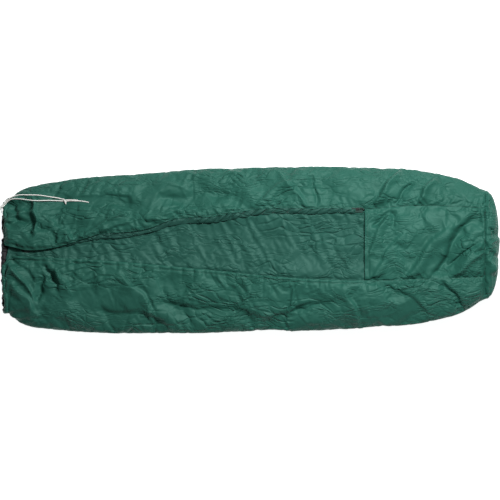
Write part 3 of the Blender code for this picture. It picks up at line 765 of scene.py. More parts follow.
def grid_mesh(name, grid, outer=None):
    """A smooth mesh of the grid. Its faces point along the outer normals where these are given."""
    columns, rows = grid.shape[:2]
    index = np.arange(columns * rows).reshape(columns, rows)
    quads = np.stack([index[:-1, :-1], index[1:, :-1], index[1:, 1:], index[:-1, 1:]], -1).reshape(-1, 4)
    if outer is not None:
        i, j = columns // 2, rows // 2
        if grid_normals(grid)[i, j] @ outer[i, j] < 0:
            quads = quads[:, ::-1]
    mesh = bpy.data.meshes.new(name)
    mesh.from_pydata(grid.reshape(-1, 3).tolist(), [], quads.tolist())
    mesh.shade_smooth()
    piece = bpy.data.objects.new(name, mesh)
    bpy.context.scene.collection.objects.link(piece)
    return piece


def fold_weights(points):
    """Share of the flap's turn that each point takes, from 0 on the sack to 1 on the flap."""
    side = np.array([FOLD_AXIS.y, -FOLD_AXIS.x])
    off = (points[:, :2] - np.array(FOLD_PLACE.xy)) @ side
    over = smooth_step((off + FOLD_HALF_WIDTH) / (2 * FOLD_HALF_WIDTH))
    return over * (1 - smooth_step((points[:, 0] - (FLAP_TIP_X - 0.10)) / 0.09))


def bend_with_flap(piece, weights=None):
    """Bake the piece's transform into its mesh. The flap's share of each point is worked out, but nothing
    turns the piece with the flap.
    """
    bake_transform(piece)
    if weights is None:
        weights = fold_weights(mesh_points(piece.data))


def join_sack(piece, with_flap):
    """Fix a piece to the sack, or, for a piece on the flap, only bake its transform."""
    if with_flap:
        bend_with_flap(piece)
    else:
        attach(piece, "root")


def thicken(piece, thickness):
    solid = piece.modifiers.new("thickness", "SOLIDIFY")
    solid.thickness = thickness


def seam_puckers(along, away, sewn):
    """Short sharp puckers beside a seam. Both sides of a seam share them, as along is the same on each."""
    slant = 0.7 * noise(along / 0.25, 0.5, 90)
    ridges = noise((along + slant * away) / 0.0125, away / 0.11, 91)
    ridges = np.sign(ridges) * np.abs(ridges) ** 0.6
    reach = np.exp(-away / 0.035) * smooth_step(away / 0.010)
    patchy = 0.55 + 0.9 * noise(along / 0.09, 0.5, 92)
    return 0.0042 * ridges * reach * np.clip(patchy, 0.15, 1.3) * sewn


def lower_under_cord(fine):
    """Press the cloth down where the drawcord's knot and tails slide over it."""
    run = fine[..., 0] - KNOT_PLACE.x
    ceiling = KNOT_PLACE.z - 0.0045 + run * CORD_AXIS.z / CORD_AXIS.x
    off = np.abs(fine[..., 1] - KNOT_PLACE.y + 0.005)
    beneath = smooth_step((0.030 - off) / 0.018) * smooth_step((run + 0.02) / 0.02)
    beneath = beneath * smooth_step((0.30 - run) / 0.03)
    fine[..., 2] -= beneath * np.maximum(fine[..., 2] - ceiling, 0)


def finish_sheet(sheet, seed, crease_height=1.0):
    """The sheet at its full fineness, with creases, above the floor."""
    fine = doubled(sheet.grid)
    outer = outward(fine)
    s, t = fine[..., 0], across_distance(fine)
    count = int(fine.shape[0] * fine.shape[1] * (CELL / 2) ** 2 * 420)
    height = crease_field(s, t, count, 0.045, 0.005, 0.0032, 1.0, 0.45, seed)
    height += crease_field(s, t, count // 3, 0.075, 0.010, 0.0058, 0.9, 0.5, seed + 1)
    height *= crease_height * np.clip(0.7 + 0.9 * noise(s / 0.16, t / 0.16, seed), 0.1, 1.6)
    columns, rows = fine.shape[:2]
    rim = np.minimum(np.arange(rows), rows - 1 - np.arange(rows))[None, :]
    ends = np.minimum(np.arange(columns), columns - 1 - np.arange(columns))[:, None]
    height *= smooth_step(np.minimum(rim, ends) / 4)
    height *= 0.35 + 0.65 * smooth_step((fine[..., 2] - 0.03) / 0.03)
    if sheet.sewn is not None:
        on_foot = smooth_step((s - FOOT_EDGE_X) / 0.03) * smooth_step((END_X - s) / 0.02)
        sewn = sheet.sewn + (1 - sheet.sewn) * on_foot
        height += seam_puckers(s, t, sewn)
        if sheet.sewn_both_sides:
            height += seam_puckers(s, t[:, -1:] - t, sewn)
    if sheet.is_end:
        height += seam_puckers(fine[..., 1], t, on_top(fine))
    if sheet.meets_end:
        height += seam_puckers(fine[..., 1], np.maximum(END_X - s, 0), on_top(fine) * smooth_step(t / 0.02))
    fine = fine + outer * height[..., None]
    if sheet.has_flap:
        lower_under_cord(fine)
    over = np.maximum(fine[..., 2] - TOP_START, 0)
    fine[..., 2] = np.minimum(fine[..., 2], TOP_START) + TOP_ROOM * np.tanh(over / TOP_ROOM)
    fine[..., 2] = np.maximum(fine[..., 2], GROUND)
    return fine, outer


# ---------------------------------------------------------------- materials


def new_material(name):
    material = bpy.data.materials.new(name)
    material.use_nodes = True
    tree = material.node_tree
    return material, tree, tree.nodes["Principled BSDF"]


def add(tree, kind, **inputs):
    node = tree.nodes.new(kind)
    for key, value in inputs.items():
        node.inputs[key.replace("_", " ")].default_value = value
    return node


def nylon(name, colour, light_colour, roughness=0.56):
    """Thin woven nylon: a fine plain weave, small crinkles and a soft sheen."""
    material, tree, shader = new_material(name)
    link = tree.links.new
    place = tree.nodes.new("ShaderNodeTexCoord")
    cloud = add(tree, "ShaderNodeTexNoise", Scale=5.0, Detail=4.0, Roughness=0.6)
    link(place.outputs["Object"], cloud.inputs["Vector"])
    mix = tree.nodes.new("ShaderNodeMix")
    mix.data_type = "RGBA"
    mix.inputs["A"].default_value = (*colour, 1)
    mix.inputs["B"].default_value = (*light_colour, 1)
    link(cloud.outputs["Fac"], mix.inputs["Factor"])
    link(mix.outputs["Result"], shader.inputs["Base Color"])
    waves = []
    for axis in ("X", "Y"):
        wave = add(tree, "ShaderNodeTexWave", Scale=420.0, Distortion=0.6, Detail=1.0)
        wave.bands_direction = axis
        link(place.outputs["Object"], wave.inputs["Vector"])
        waves.append(wave)
    weave = tree.nodes.new("ShaderNodeMath")
    weave.operation = "MULTIPLY"
    link(waves[0].outputs["Fac"], weave.inputs[0])
    link(waves[1].outputs["Fac"], weave.inputs[1])
    normal = add(tree, "ShaderNodeBump", Strength=0.12, Distance=0.0002)
    link(weave.outputs["Value"], normal.inputs["Height"])
    warp = add(tree, "ShaderNodeTexNoise", Scale=6.0, Detail=1.0)
    link(place.outputs["Object"], warp.inputs["Vector"])
    for scale, turn, deep in ((26.0, 0.6, 0.0030), (48.0, -0.8, 0.0016)):
        stretch = tree.nodes.new("ShaderNodeMapping")
        stretch.inputs["Rotation"].default_value = (0, 0, turn)
        stretch.inputs["Scale"].default_value = (0.45, 1.25, 1.0)
        shifted = tree.nodes.new("ShaderNodeVectorMath")
        shifted.operation = "MULTIPLY_ADD"
        shifted.inputs[1].default_value = (0.10, 0.10, 0.10)
        link(warp.outputs["Color"], shifted.inputs[0])
        link(place.outputs["Object"], shifted.inputs[2])
        link(shifted.outputs["Vector"], stretch.inputs["Vector"])
        cells = add(tree, "ShaderNodeTexVoronoi", Scale=scale)
        cells.feature = "DISTANCE_TO_EDGE"
        link(stretch.outputs["Vector"], cells.inputs["Vector"])
        patches = add(tree, "ShaderNodeTexNoise", Scale=scale / 4, Detail=1.0)
        link(stretch.outputs["Vector"], patches.inputs["Vector"])
        shown = tree.nodes.new("ShaderNodeMapRange")
        shown.inputs["From Min"].default_value = 0.46
        shown.inputs["From Max"].default_value = 0.62
        link(patches.outputs["Fac"], shown.inputs["Value"])
        edge = tree.nodes.new("ShaderNodeMath")
        edge.operation = "MINIMUM"
        edge.inputs[1].default_value = 0.16
        link(cells.outputs["Distance"], edge.inputs[0])
        crease = tree.nodes.new("ShaderNodeMath")
        crease.operation = "MULTIPLY"
        link(edge.outputs["Value"], crease.inputs[0])
        link(shown.outputs["Result"], crease.inputs[1])
        bump = add(tree, "ShaderNodeBump", Strength=0.9, Distance=deep * 8)
        link(crease.outputs["Value"], bump.inputs["Height"])
        link(normal.outputs["Normal"], bump.inputs["Normal"])
        normal = bump
    link(normal.outputs["Normal"], shader.inputs["Normal"])
    shader.inputs["Roughness"].default_value = roughness
    shader.inputs["Specular IOR Level"].default_value = 0.30
    shader.inputs["Specular Tint"].default_value = (0.55, 0.9, 0.8, 1)
    shader.inputs["Sheen Weight"].default_value = 0.05
    shader.inputs["Sheen Roughness"].default_value = 0.4
    shader.inputs["Sheen Tint"].default_value = (0.3, 0.9, 0.7, 1)
    return material


def plain(name, colour, roughness, metallic=0.0, scale=300.0, strength=0.2):
    """A material with a small-scale grain in its surface and its tone."""
    material, tree, shader = new_material(name)
    link = tree.links.new
    place = tree.nodes.new("ShaderNodeTexCoord")
    grain = add(tree, "ShaderNodeTexNoise", Scale=scale, Detail=3.0)
    link(place.outputs["Object"], grain.inputs["Vector"])
    mix = tree.nodes.new("ShaderNodeMix")
    mix.data_type = "RGBA"
    mix.inputs["A"].default_value = (*(0.8 * c for c in colour), 1)
    mix.inputs["B"].default_value = (*(min(1.0, 1.15 * c) for c in colour), 1)
    link(grain.outputs["Fac"], mix.inputs["Factor"])
    link(mix.outputs["Result"], shader.inputs["Base Color"])
    bump = add(tree, "ShaderNodeBump", Strength=strength, Distance=0.0004)
    link(grain.outputs["Fac"], bump.inputs["Height"])
    link(bump.outputs["Normal"], shader.inputs["Normal"])
    shader.inputs["Roughness"].default_value = roughness
    shader.inputs["Metallic"].default_value = metallic
    return material


shell_green = nylon("shell_green", (0.012, 0.073, 0.052), (0.021, 0.108, 0.081))
# The centre panel's nylon is the shell's made darker: painted shade for the recessed centre panel.
insert_shaded_green = nylon("insert_shaded_green", (0.012, 0.066, 0.049), (0.020, 0.092, 0.071))
# The placket's nylon is the shell's made darker: painted shade for the strip that lies under the flap's edge.
placket_shaded_green = nylon("placket_shaded_green", (0.012, 0.055, 0.043), (0.020, 0.080, 0.063))
lining_black = plain("lining_black", (0.006, 0.007, 0.008), 0.75, scale=140.0, strength=0.6)
tape_green = plain("tape_green", (0.012, 0.045, 0.035), 0.8, scale=900.0)
coil_dark = plain("coil_dark", (0.010, 0.016, 0.014), 0.4)
seam_tape_grey = plain("seam_tape_grey", (0.030, 0.045, 0.040), 0.6)
zip_metal = plain("zip_metal", (0.030, 0.036, 0.034), 0.42, metallic=0.8)
cord_white = plain("cord_white", (0.80, 0.80, 0.76), 0.85, scale=700.0, strength=0.5)
thread_green = plain("thread_green", (0.020, 0.075, 0.058), 0.6)


def dress(piece, material):
    piece.data.materials.clear()
    piece.data.materials.append(material)


# ---------------------------------------------------------------- shell pieces

zip_side = make_zip_side()
zip_side.sewn = 0.35
zip_side.has_flap = True
seam_side = make_seam_side()
seam_side.sewn = 0.45
insert = make_insert()
foot = make_foot_panel()
foot.sewn = 1.0
foot.sewn_both_sides = True
foot_end = make_foot_end()
foot_end.is_end = True
for joined in (zip_side, seam_side, foot):
    joined.meets_end = True
sheets = [zip_side, seam_side, insert, foot, foot_end]
simulate(sheets)

for number, (sheet, nodes, material, creases) in enumerate((
    (zip_side, ("zip_side_panel", "flap_panel"), shell_green, 1.0),
    (seam_side, ("seam_side_panel",), shell_green, 1.0),
    (insert, ("centre_panel",), insert_shaded_green, 0.55),
    (foot, ("foot_panel", "foot_panel_hem"), shell_green, 1.0),
    (foot_end, ("foot_end_panel",), shell_green, 0.8),
)):
    fine, outer = finish_sheet(sheet, 100 + 10 * number, creases)
    sheet.fine, sheet.outer = fine, outer
    piece = grid_mesh(sheet.name, fine, outer)
    dress(piece, material)
    join_sack(piece, sheet.has_flap)
    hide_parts(*nodes)


def make_floor_sheet():
    share = np.linspace(0, 1, 48)[None, :]
    end_low, end_high = outline_low(END_X) + ROLL, outline_high(END_X) - ROLL
    bulge = end_bulge(end_low + (end_high - end_low) * share)
    end = END_X + bulge - np.minimum(bulge, END_ROLL) + 0.008
    x = HEAD_X + (end - HEAD_X) * np.linspace(0, 1, 160)[:, None]
    section = np.minimum(x, END_X)
    low, high = outline_low(section) + ROLL - 0.004, outline_high(section) - ROLL + 0.004
    y = low + (high - low) * share
    z = 0.0012 + 0.0007 * noise(x / 0.05, y / 0.05, 4)
    piece = grid_mesh("floor_shell", np.stack([x, y, z], -1)[:, ::-1])
    dress(piece, shell_green)
    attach(piece, "root")
    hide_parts("floor_panel")


make_floor_sheet()


# ---------------------------------------------------------------- stitching


def make_stitches(name, sheet, row_at, first_x, last_x, with_flap=False, columns=False):
    """A line of raised thread stitches along one row (or column) of a sheet's finished grid."""
    fine, outer = sheet.fine, sheet.outer
    if columns:
        column = int(np.searchsorted(fine[:, 0, 0], row_at))
        line, up = fine[column, 4:-4], outer[column, 4:-4]
    else:
        row = int(round(row_at / (sheet.across.max() / (fine.shape[1] - 1))))
        inside = (fine[:, row, 0] > first_x) & (fine[:, row, 0] < last_x)
        line, up = fine[inside, row], outer[inside, row]
    length = np.concatenate([[0], np.cumsum(np.linalg.norm(np.diff(line, axis=0), axis=1))])
    pitch, stitch, half = 0.0058, 0.0040, 0.00055
    starts = np.arange(0.003, length[-1] - pitch, pitch)

    def at(places, values):
        return np.stack([np.interp(places, length, values[:, k]) for k in range(3)], -1)

    low, high = at(starts, line), at(starts + stitch, line)
    normal = at(starts + stitch / 2, up)
    run = high - low
    side = np.cross(run, normal)
    side /= np.linalg.norm(side, axis=1, keepdims=True)
    centre = (low + high) / 2
    corners = [low - side * half, low + side * half, high + side * half, high - side * half]
    top = [centre - run / 4 + normal * 0.0011, centre + run / 4 + normal * 0.0011]
    points = np.stack([*(c + normal * 0.0001 for c in corners), *top], 1).reshape(-1, 3)
    faces = []
    for k in range(len(starts)):
        b = 6 * k
        faces += [
            (b, b + 1, b + 4),
            (b + 1, b + 2, b + 5, b + 4),
            (b + 2, b + 3, b + 5),
            (b + 3, b, b + 4, b + 5),
        ]
    mesh = bpy.data.meshes.new(name)
    mesh.from_pydata(points.tolist(), [], faces)
    mesh.shade_smooth()
    piece = bpy.data.objects.new(name, mesh)
    bpy.context.scene.collection.objects.link(piece)
    dress(piece, thread_green)
    join_sack(piece, with_flap)


make_stitches("stitches_flap_edge", zip_side, 0.0085, HEAD_X + 0.02, FOOT_EDGE_X - 0.01, with_flap=True)
make_stitches("stitches_lower_seam", seam_side, 0.0150, HEAD_X + 0.02, FOOT_EDGE_X - 0.01)
make_stitches("stitches_foot_lower", seam_side, 0.0060, FOOT_EDGE_X + 0.01, END_X - 0.01)
make_stitches("stitches_foot_upper", zip_side, 0.0060, FOOT_EDGE_X + 0.01, END_X - 0.01)
make_stitches("stitches_foot_hem", foot, FOOT_EDGE_X + 0.010, 0, 0, columns=True)
make_stitches("stitches_foot_end", foot, END_X - 0.008, 0, 0, columns=True)


# ---------------------------------------------------------------- placket over the zip


def zip_points(x, offset, level):
    """Points beside the zip's arc: offset towards +Y, level above its plane."""
    x = np.asarray(x, float)
    across = np.stack([x - ZIP_CENTRE.x, zip_y(x) - ZIP_CENTRE.y, 0 * x], -1)
    across = across / np.linalg.norm(across, axis=-1, keepdims=True)
    base = np.stack([x, zip_y(x), zip_z(x)], -1)
    up = np.array(ZIP_UP)
    return base + across * np.expand_dims(offset, -1) + up * np.expand_dims(level, -1)


def make_placket():
    """The ruched strip that covers the zip, sewn under the flap's edge."""
    xs = np.linspace(-0.86, 0.466, 900)
    rows = 17
    share = np.linspace(0, 1, rows)[None, :]
    width = placket_width(xs)[:, None] + 0.004
    offset = -overhang(xs)[:, None] + 0.004 - width * share
    hump = np.sin(math.pi * np.clip(share, 0, 1)) ** 0.6
    level = 0.0005 + 0.0048 * hump - 0.0030 * share
    along = xs[:, None] + 1.1 * width * share
    puffs = np.abs(np.sin(math.pi * (along / 0.045 + 0.6 * noise(along / 0.09, 0.5, 12)))) ** 0.6 - 0.6
    ruched = 0.35 + 0.65 * smooth_step((xs[:, None] + 0.42) / 0.15)
    level = level + ruched * hump * (0.0085 * puffs + 0.0012 * noise(along / 0.010, share, 14))
    offset = offset - 0.0050 * ruched * puffs * share + 0.0016 * noise(along / 0.016, share, 13) * share
    x = np.broadcast_to(xs[:, None], offset.shape)
    grid = zip_points(x, offset, level)
    piece = grid_mesh("zip_placket_cloth", grid[:, ::-1])
    thicken(piece, PLACKET_THICKNESS)
    # darker nylon: painted shade under the flap's edge
    dress(piece, placket_shaded_green)
    bend_with_flap(piece)
    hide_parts("zip_placket")


make_placket()


# ---------------------------------------------------------------- lining


def neighbours(field, axis):
    """The field shifted along an axis by every step up to LINING_REACH either way, its edges held."""
    size = field.shape[axis]
    pad = [(0, 0)] * 2
    pad[axis] = (LINING_REACH, LINING_REACH)
    padded = np.pad(field, pad, mode="edge")
    return [np.take(padded, np.arange(k, k + size), axis=axis) for k in range(2 * LINING_REACH + 1)]


def lowest_near(height):
    """A smooth field that is nowhere above the given one: its lowest value nearby, evened out."""
    for combine in (np.min, np.mean):
        for axis in (0, 1):
            height = combine(neighbours(height, axis), axis=0)
    return height


def make_lining():
    """Black cloth that follows each shell panel on its inside, and lies loosely over the floor."""
    for number, (sheet, nodes) in enumerate((
        (zip_side, ("zip_side_lining", "flap_lining")),
        (seam_side, ("seam_side_lining",)),
        (insert, ("centre_lining",)),
        (foot, ("foot_lining",)),
        (foot_end, ("foot_end_lining",)),
    )):
        base = doubled(sheet.base)
        outer = outward(base)
        t = across_distance(base)
        height = lowest_near(((sheet.fine - base) * outer).sum(-1)) - 0.004
        height -= 0.0015 * (1 + noise(base[..., 0] / 0.02, t / 0.02, number + 30))
        grid = base + outer * height[..., None]
        if sheet.has_flap:
            along_edge = sheet.fine - sheet.outer * 0.0035
            loose = smooth_step(t / 0.012) + smooth_step((base[..., 0] - FOOT_EDGE_X) / 0.02)
            loose = np.minimum(loose, 1)[..., None]
            grid = along_edge * (1 - loose) + grid * loose
        grid, outer = grid[::2, ::2], outer[::2, ::2]
        grid[..., 2] = np.maximum(grid[..., 2], 0.0025)
        piece = grid_mesh("lining_" + sheet.name.removesuffix("_shell"), grid, outer)
        dress(piece, lining_black)
        join_sack(piece, sheet.has_flap)
        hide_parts(*nodes)
    xs = np.linspace(HEAD_X + 0.002, END_X - 0.01, 240)
    low, high = outline_low(xs) + ROLL, outline_high(xs) - ROLL
    y = low[:, None] + (high - low)[:, None] * np.linspace(0, 1, 60)
    x = np.broadcast_to(xs[:, None], y.shape)
    z = 0.0085 + 0.003 * noise(x / 0.04, y / 0.03, 40) + 0.001 * noise(x / 0.01, y / 0.012, 41)
    piece = grid_mesh("lining_floor", np.stack([x, y, z], -1))
    dress(piece, lining_black)
    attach(piece, "root")
    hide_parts("floor_lining")


make_lining()


def make_seam_tapes():
    """The tapes under the seams, between shell and lining."""
    on_foot = zip_side.fine[:, 0, 0] > FOOT_EDGE_X + 0.02
    for name, sheet, patch, node in (
        ("tape_lower_seam", seam_side, (slice(20, -4), slice(0, 4)), "seam_tape_lower"),
        ("tape_foot_upper", zip_side, (on_foot, slice(0, 4)), "seam_tape_foot_upper"),
        ("tape_foot_edge", foot, (slice(1, 6), slice(4, -4)), "seam_tape_foot_edge"),
        ("tape_foot_end", foot, (slice(-6, -1), slice(4, -4)), "seam_tape_foot_end"),
    ):
        outer = sheet.outer[patch]
        piece = grid_mesh(name, sheet.fine[patch] - outer * 0.0028, outer)
        dress(piece, seam_tape_grey)
        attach(piece, "root")
        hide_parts(node)


make_seam_tapes()

# ---------------------------------------------------------------- gathered hem at the head


def ring_path(depth, count):
    """Points round the head opening, from the seam side's front, under the sack, to the flap's corner."""
    x0 = middle("hood_hem").x
    start = angle_at(np.array(x0), np.array(HEM_GAP[0]))
    finish = angle_at(np.array(x0), np.array(HEM_GAP[1]))
    angles = np.concatenate([np.linspace(start, math.pi + UNDER, 200), np.linspace(-UNDER, finish, 200)])
    path = surface(np.full_like(angles, x0), angles, depth)
    length = np.concatenate([[0], np.cumsum(np.linalg.norm(np.diff(path, axis=0), axis=1))])
    even = np.linspace(0, length[-1], count)
    return np.stack([np.interp(even, length, path[:, k]) for k in range(3)], -1), even


def ring_weights(grid):
    """The flap's share for a mesh round the head opening, above zero only on its upper half past the fold."""
    turning = (np.arange(len(grid)) > len(grid) // 2)[:, None] & (grid[..., 2] > 0.035)
    return fold_weights(grid.reshape(-1, 3)) * turning.ravel()


HEM_RADIUS = 0.0085


def hem_line():
    """The centre line of the casing round the head opening, and the distance along it."""
    path, even = ring_path(0.0055, 620)
    path[:, 0] += head_shift(HEAD_X, path[:, 1]) + 0.004 * noise(even / 0.045, 0.5, 52)
    return path, even


def make_hem():
    """The drawcord casing round the head opening, bunched into short pleats."""
    radius = HEM_RADIUS
    path, even = hem_line()
    tangent = np.gradient(path, axis=0)
    tangent /= np.linalg.norm(tangent, axis=1, keepdims=True)
    forward = np.array([1.0, 0, 0])
    outside = np.cross(tangent, forward)
    around = np.linspace(0, 2 * math.pi, 25)[None, :]
    bunch = noise(even[:, None] / 0.010, 0.8 * np.cos(around) + 3, 50)
    bunch = 0.6 * bunch + 0.4 * noise(even[:, None] / 0.0055, np.sin(around) + 5, 51)
    to_end = np.minimum(even, even[-1] - even)[:, None] / radius
    reach = radius * (1 + 0.38 * bunch) * np.sqrt(1 - np.clip(1 - to_end, 0, 0.98) ** 2)
    grid = (
        path[:, None]
        + forward * (np.cos(around) * reach * 1.1)[..., None]
        + outside[:, None] * (np.sin(around) * reach)[..., None]
    )
    grid[..., 2] = np.maximum(grid[..., 2], 0.0006)
    piece = grid_mesh("hood_hem_cloth", grid)
    dress(piece, shell_green)
    bend_with_flap(piece, ring_weights(grid))
    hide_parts("hood_hem", "flap_hem")


def make_lining_edge():
    """The lining's gathered edge, which shows in front of the hem and fills the opening at the front."""
    path, even = ring_path(0.012, 620)
    share = np.linspace(0, 1, 9)[None, :]
    front = middle("hood_hem").x - 0.0120 - 0.006 * noise(even / 0.013, 0.5, 55)
    front = (front + head_shift(HEAD_X, path[:, 1]))[:, None]
    back = HEAD_X + 0.012
    ruffle = 0.0030 * noise(even[:, None] / 0.007, share * 1.5, 56)
    grid = np.empty((len(even), 9, 3))
    grid[..., 0] = front + (back - front) * share
    grid[..., 1] = path[:, 1:2]
    grid[..., 2] = np.maximum(path[:, 2:3] + ruffle, 0.001)
    piece = grid_mesh("lining_edge", grid)
    thicken(piece, LINING_THICKNESS)
    dress(piece, lining_black)
    bend_with_flap(piece, ring_weights(grid))
    ys = np.linspace(HEM_GAP[0] - 0.012, HEM_GAP[1] + 0.016, 90)
    share = np.linspace(0, 1, 26)[None, :]
    edge = middle("hood_hem").x - 0.009 - 0.004 * noise(ys / 0.012, 0.5, 57)[:, None]
    grid = np.empty((len(ys), 26, 3))
    grid[..., 0] = edge + (INSERT_X + 0.004 - edge) * share
    grid[..., 1] = ys[:, None] + 0.004 * noise(ys[:, None] / 0.03, share, 58)
    height = on_surface(np.full_like(ys, HEAD_X), ys, 0.006)[:, 2:3]
    grid[..., 2] = height + 0.0045 * noise(ys[:, None] / 0.008, share * 2.0, 59) - 0.016 * share**2
    piece = grid_mesh("lining_gathers", grid[:, ::-1])
    thicken(piece, LINING_THICKNESS)
    dress(piece, lining_black)
    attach(piece, "root")


make_lining_edge()
make_hem()

# ---------------------------------------------------------------- drawcord


def cord_mesh(name, path, braid=0.0035):
    """A braided cord along a smooth path."""
    path = np.array(path, float)
    steps = np.linalg.norm(np.diff(path, axis=0), axis=1)
    length = np.concatenate([[0], np.cumsum(steps)])
    even = np.linspace(0, length[-1], max(8, int(length[-1] / 0.0011)))
    smooth = np.stack([through(list(zip(length, path[:, k])))(even) for k in range(3)], -1)
    tangent = np.gradient(smooth, axis=0)
    tangent /= np.linalg.norm(tangent, axis=1, keepdims=True)
    side = np.cross(tangent, [0, 0, 1.0])
    side /= np.linalg.norm(side, axis=1, keepdims=True)
    up = np.cross(side, tangent)
    around = np.linspace(0, 2 * math.pi, CORD_SIDES)[None, :]
    twist = np.cos(2 * math.pi * even[:, None] / braid + 2 * around) * np.cos(
        2 * math.pi * even[:, None] / braid - 2 * around
    )
    taper = np.minimum(1, np.minimum(even, even[-1] - even) / 0.0015 + 0.25)[:, None]
    r = CORD_RADIUS * (1 + 0.10 * twist) * taper
    grid = smooth[:, None] + side[:, None] * (np.cos(around) * r)[..., None]
    grid = grid + up[:, None] * (np.sin(around) * r)[..., None]
    piece = grid_mesh(name, grid)
    dress(piece, cord_white)
    return piece


def cloth_top(x, y, reach=0.010):
    """The highest point of the zip side's cloth near a place."""
    flat = zip_side.fine.reshape(-1, 3)
    near = np.hypot(flat[:, 0] - x, flat[:, 1] - y) < reach
    return flat[near, 2].max()


def lying(points):
    """Points (x, y) on top of the cloth, at a height that changes slowly from one to the next."""
    heights = np.array([cloth_top(x, y) for x, y in points]) + CORD_LIFT
    padded = np.pad(heights, 1, mode="edge")
    heights = np.maximum(heights, (padded[:-2] + padded[2:]) / 2)
    return [np.array([x, y, z]) for (x, y), z in zip(points, heights)]


def make_cord_in_hem():
    path, _ = hem_line()
    piece = cord_mesh("cord_in_hem", path[4:-4:8])
    bend_with_flap(piece, ring_weights(mesh_points(piece.data).reshape(-1, CORD_SIDES, 3)))
    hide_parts("drawcord_in_hem", "drawcord_in_flap")


make_cord_in_hem()


def make_drawcord():
    hem_face = cad_box[0][0] - 0.001
    upper = [(hem_face, 0.176, 0.058), (hem_face - 0.001, 0.189, 0.060), (-1.092, 0.199, 0.066)]
    upper += lying(((-1.075, 0.218), (-1.052, 0.234), (-1.030, 0.2415), (-0.978, 0.2435), (-0.928, 0.2415),
                    (-0.884, 0.235), (-0.845, 0.229), (-0.823, 0.2235)))
    lower = [(hem_face + 0.002, 0.184, 0.052), (-1.0945, 0.190, 0.066)]
    lower += lying(((-1.082, 0.200), (-1.072, 0.2135), (-1.056, 0.2235), (-1.035, 0.2265), (-1.005, 0.2245),
                    (-0.953, 0.2185), (-0.884, 0.2190), (-0.845, 0.2175), (-0.823, 0.2165)))
    for name, path in (("cord_upper_strand", upper), ("cord_lower_strand", lower)):
        piece = cord_mesh(name, path)
        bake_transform(piece)
        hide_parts("draw" + name)
    knot_height = cloth_top(-0.818, 0.2165) + 0.004
    knot = []
    for turn in np.linspace(0, KNOT_TURN, 60):
        share = turn / KNOT_TURN
        base = np.array([-0.824 + 0.014 * share, 0.2235 - 0.014 * share, knot_height])
        knot.append(base + np.array([0.0, 0.0036 * math.cos(turn), 0.0030 * math.sin(turn)]))
    knot_piece = cord_mesh("cord_knot", knot)
    tails = (
        ("cord_long_tail", ((-0.822, 0.2150), (-0.800, 0.2172), (-0.775, 0.2172), (-0.750, 0.2168),
                            (-0.730, 0.2140), (-0.712, 0.2105)), "drawcord_long_tail"),
        ("cord_short_tail", ((-0.822, 0.2205), (-0.800, 0.2216), (-0.778, 0.2212), (-0.758, 0.2196)),
         "drawcord_short_tail"),
        ("cord_stub", ((-0.8205, 0.2170), (-0.8160, 0.2080), (-0.8125, 0.2020)), None),
    )
    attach(knot_piece, "cord_end")
    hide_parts("drawcord_knot")
    for name, places, node in tails:
        piece = cord_mesh(name, lying(places))
        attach(piece, "cord_end")
        if node:
            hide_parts(node)


make_drawcord()

# ---------------------------------------------------------------- zip


def make_coil(name, side, nodes):
    """One half of the coil: a close spiral beside the zip's centre line."""
    start, end = ZIP_HEAD_X, ZIP_STOP_X
    pitch, per_turn = 0.0032, 8
    count = int((end - start) / pitch * per_turn)
    xs = np.linspace(start, end, count)
    turn = np.arange(count) * 2 * math.pi / per_turn
    path = zip_points(xs, side * (0.0024 + 0.0010 * np.cos(turn)), 0.0009 * np.sin(turn))
    tangent = np.gradient(path, axis=0)
    tangent /= np.linalg.norm(tangent, axis=1, keepdims=True)
    first = np.cross(tangent, [0, 0, 1.0])
    first /= np.maximum(np.linalg.norm(first, axis=1, keepdims=True), 1e-9)
    second = np.cross(first, tangent)
    around = np.linspace(0, 2 * math.pi, 6)[None, :]
    wire = 0.00052
    grid = path[:, None] + first[:, None] * (np.cos(around) * wire)[..., None]
    grid = grid + second[:, None] * (np.sin(around) * wire)[..., None]
    piece = grid_mesh(name, grid)
    dress(piece, coil_dark)
    join_sack(piece, side > 0)
    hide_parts(*nodes)


def make_tape(name, side, nodes):
    xs = np.linspace(ZIP_HEAD_X, ZIP_STOP_X, 500)
    across = np.linspace(0.0034, 0.0145, 7)[None, :] * side
    uneven = 0.0006 * noise(xs[:, None] / 0.03, across / 0.01, 60)
    level = 0.0004 + 0.0002 * np.sin(xs[:, None] / 0.0011) + uneven
    level = level - 0.0012 * (np.abs(across) > 0.0085)
    x = np.broadcast_to(xs[:, None], (len(xs), across.shape[1]))
    grid = zip_points(x, np.broadcast_to(across, x.shape), level)
    piece = grid_mesh(name, grid if side < 0 else grid[:, ::-1])
    dress(piece, tape_green)
    join_sack(piece, side > 0)
    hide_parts(*nodes)


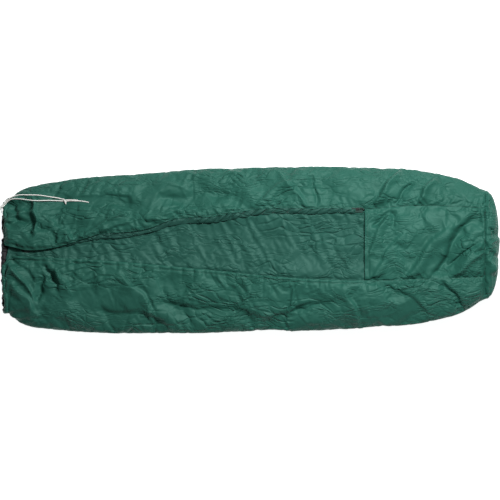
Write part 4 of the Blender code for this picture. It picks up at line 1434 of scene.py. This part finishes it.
make_coil("coil_lower", -1, ("zip_coil_lower",))
make_coil("coil_upper", 1, ("zip_coil_upper", "zip_coil_upper_end"))
make_tape("tape_lower", -1, ("zip_tape_lower",))
make_tape("tape_upper", 1, ("zip_tape_upper", "zip_tape_upper_end"))

# ---------------------------------------------------------------- CAD nodes that stay

KEPT = (
    "zip_slider", "zip_pull", "zip_bottom_stop", "zip_top_stop_lower", "zip_top_stop_upper",
    "eyelet_lower", "eyelet_upper",
)
for name in KEPT:
    dress(frame["nodes"][name], zip_metal)

# ---------------------------------------------------------------- stage


def make_stage():
    floor_mesh = bpy.data.meshes.new("stage_floor")
    reach = 12.0
    floor_mesh.from_pydata(
        [(-reach, -reach, -0.001), (reach, -reach, -0.001), (reach, reach, -0.001), (-reach, reach, -0.001)],
        [], [(0, 1, 2, 3)],
    )
    floor = bpy.data.objects.new("stage_floor", floor_mesh)
    bpy.context.scene.collection.objects.link(floor)
    material, _, shader = new_material("stage_white")
    shader.inputs["Base Color"].default_value = (0.50, 0.50, 0.50, 1)
    shader.inputs["Roughness"].default_value = 0.9
    shader.inputs["Emission Color"].default_value = (1, 1, 1, 1)
    shader.inputs["Emission Strength"].default_value = 0.94
    floor.data.materials.append(material)


def make_world():
    world = bpy.data.worlds.new("studio")
    world.use_nodes = True
    background = world.node_tree.nodes["Background"]
    background.inputs["Color"].default_value = (1, 1, 1, 1)
    background.inputs["Strength"].default_value = 0.14
    bpy.context.scene.world = world


def make_key_light():
    place, target = Vector((1.2, 1.6, 3.0)), Vector((0.1, 0, 0))
    light = bpy.data.objects.new("key", bpy.data.lights.new("key", "AREA"))
    light.data.size = 0.8
    light.data.energy = 170
    light.location = place
    light.rotation_euler = (target - place).to_track_quat("-Z", "Y").to_euler()
    bpy.context.scene.collection.objects.link(light)


def make_camera():
    scene = bpy.context.scene
    camera = bpy.data.objects.new("camera", bpy.data.cameras.new("camera"))
    camera.data.type = "ORTHO"
    camera.data.ortho_scale = 2.209
    camera.location = (0, 0, 3)
    scene.collection.objects.link(camera)
    scene.camera = camera
    scene.view_settings.view_transform = "Standard"


make_stage()
make_world()
make_key_light()
make_camera()
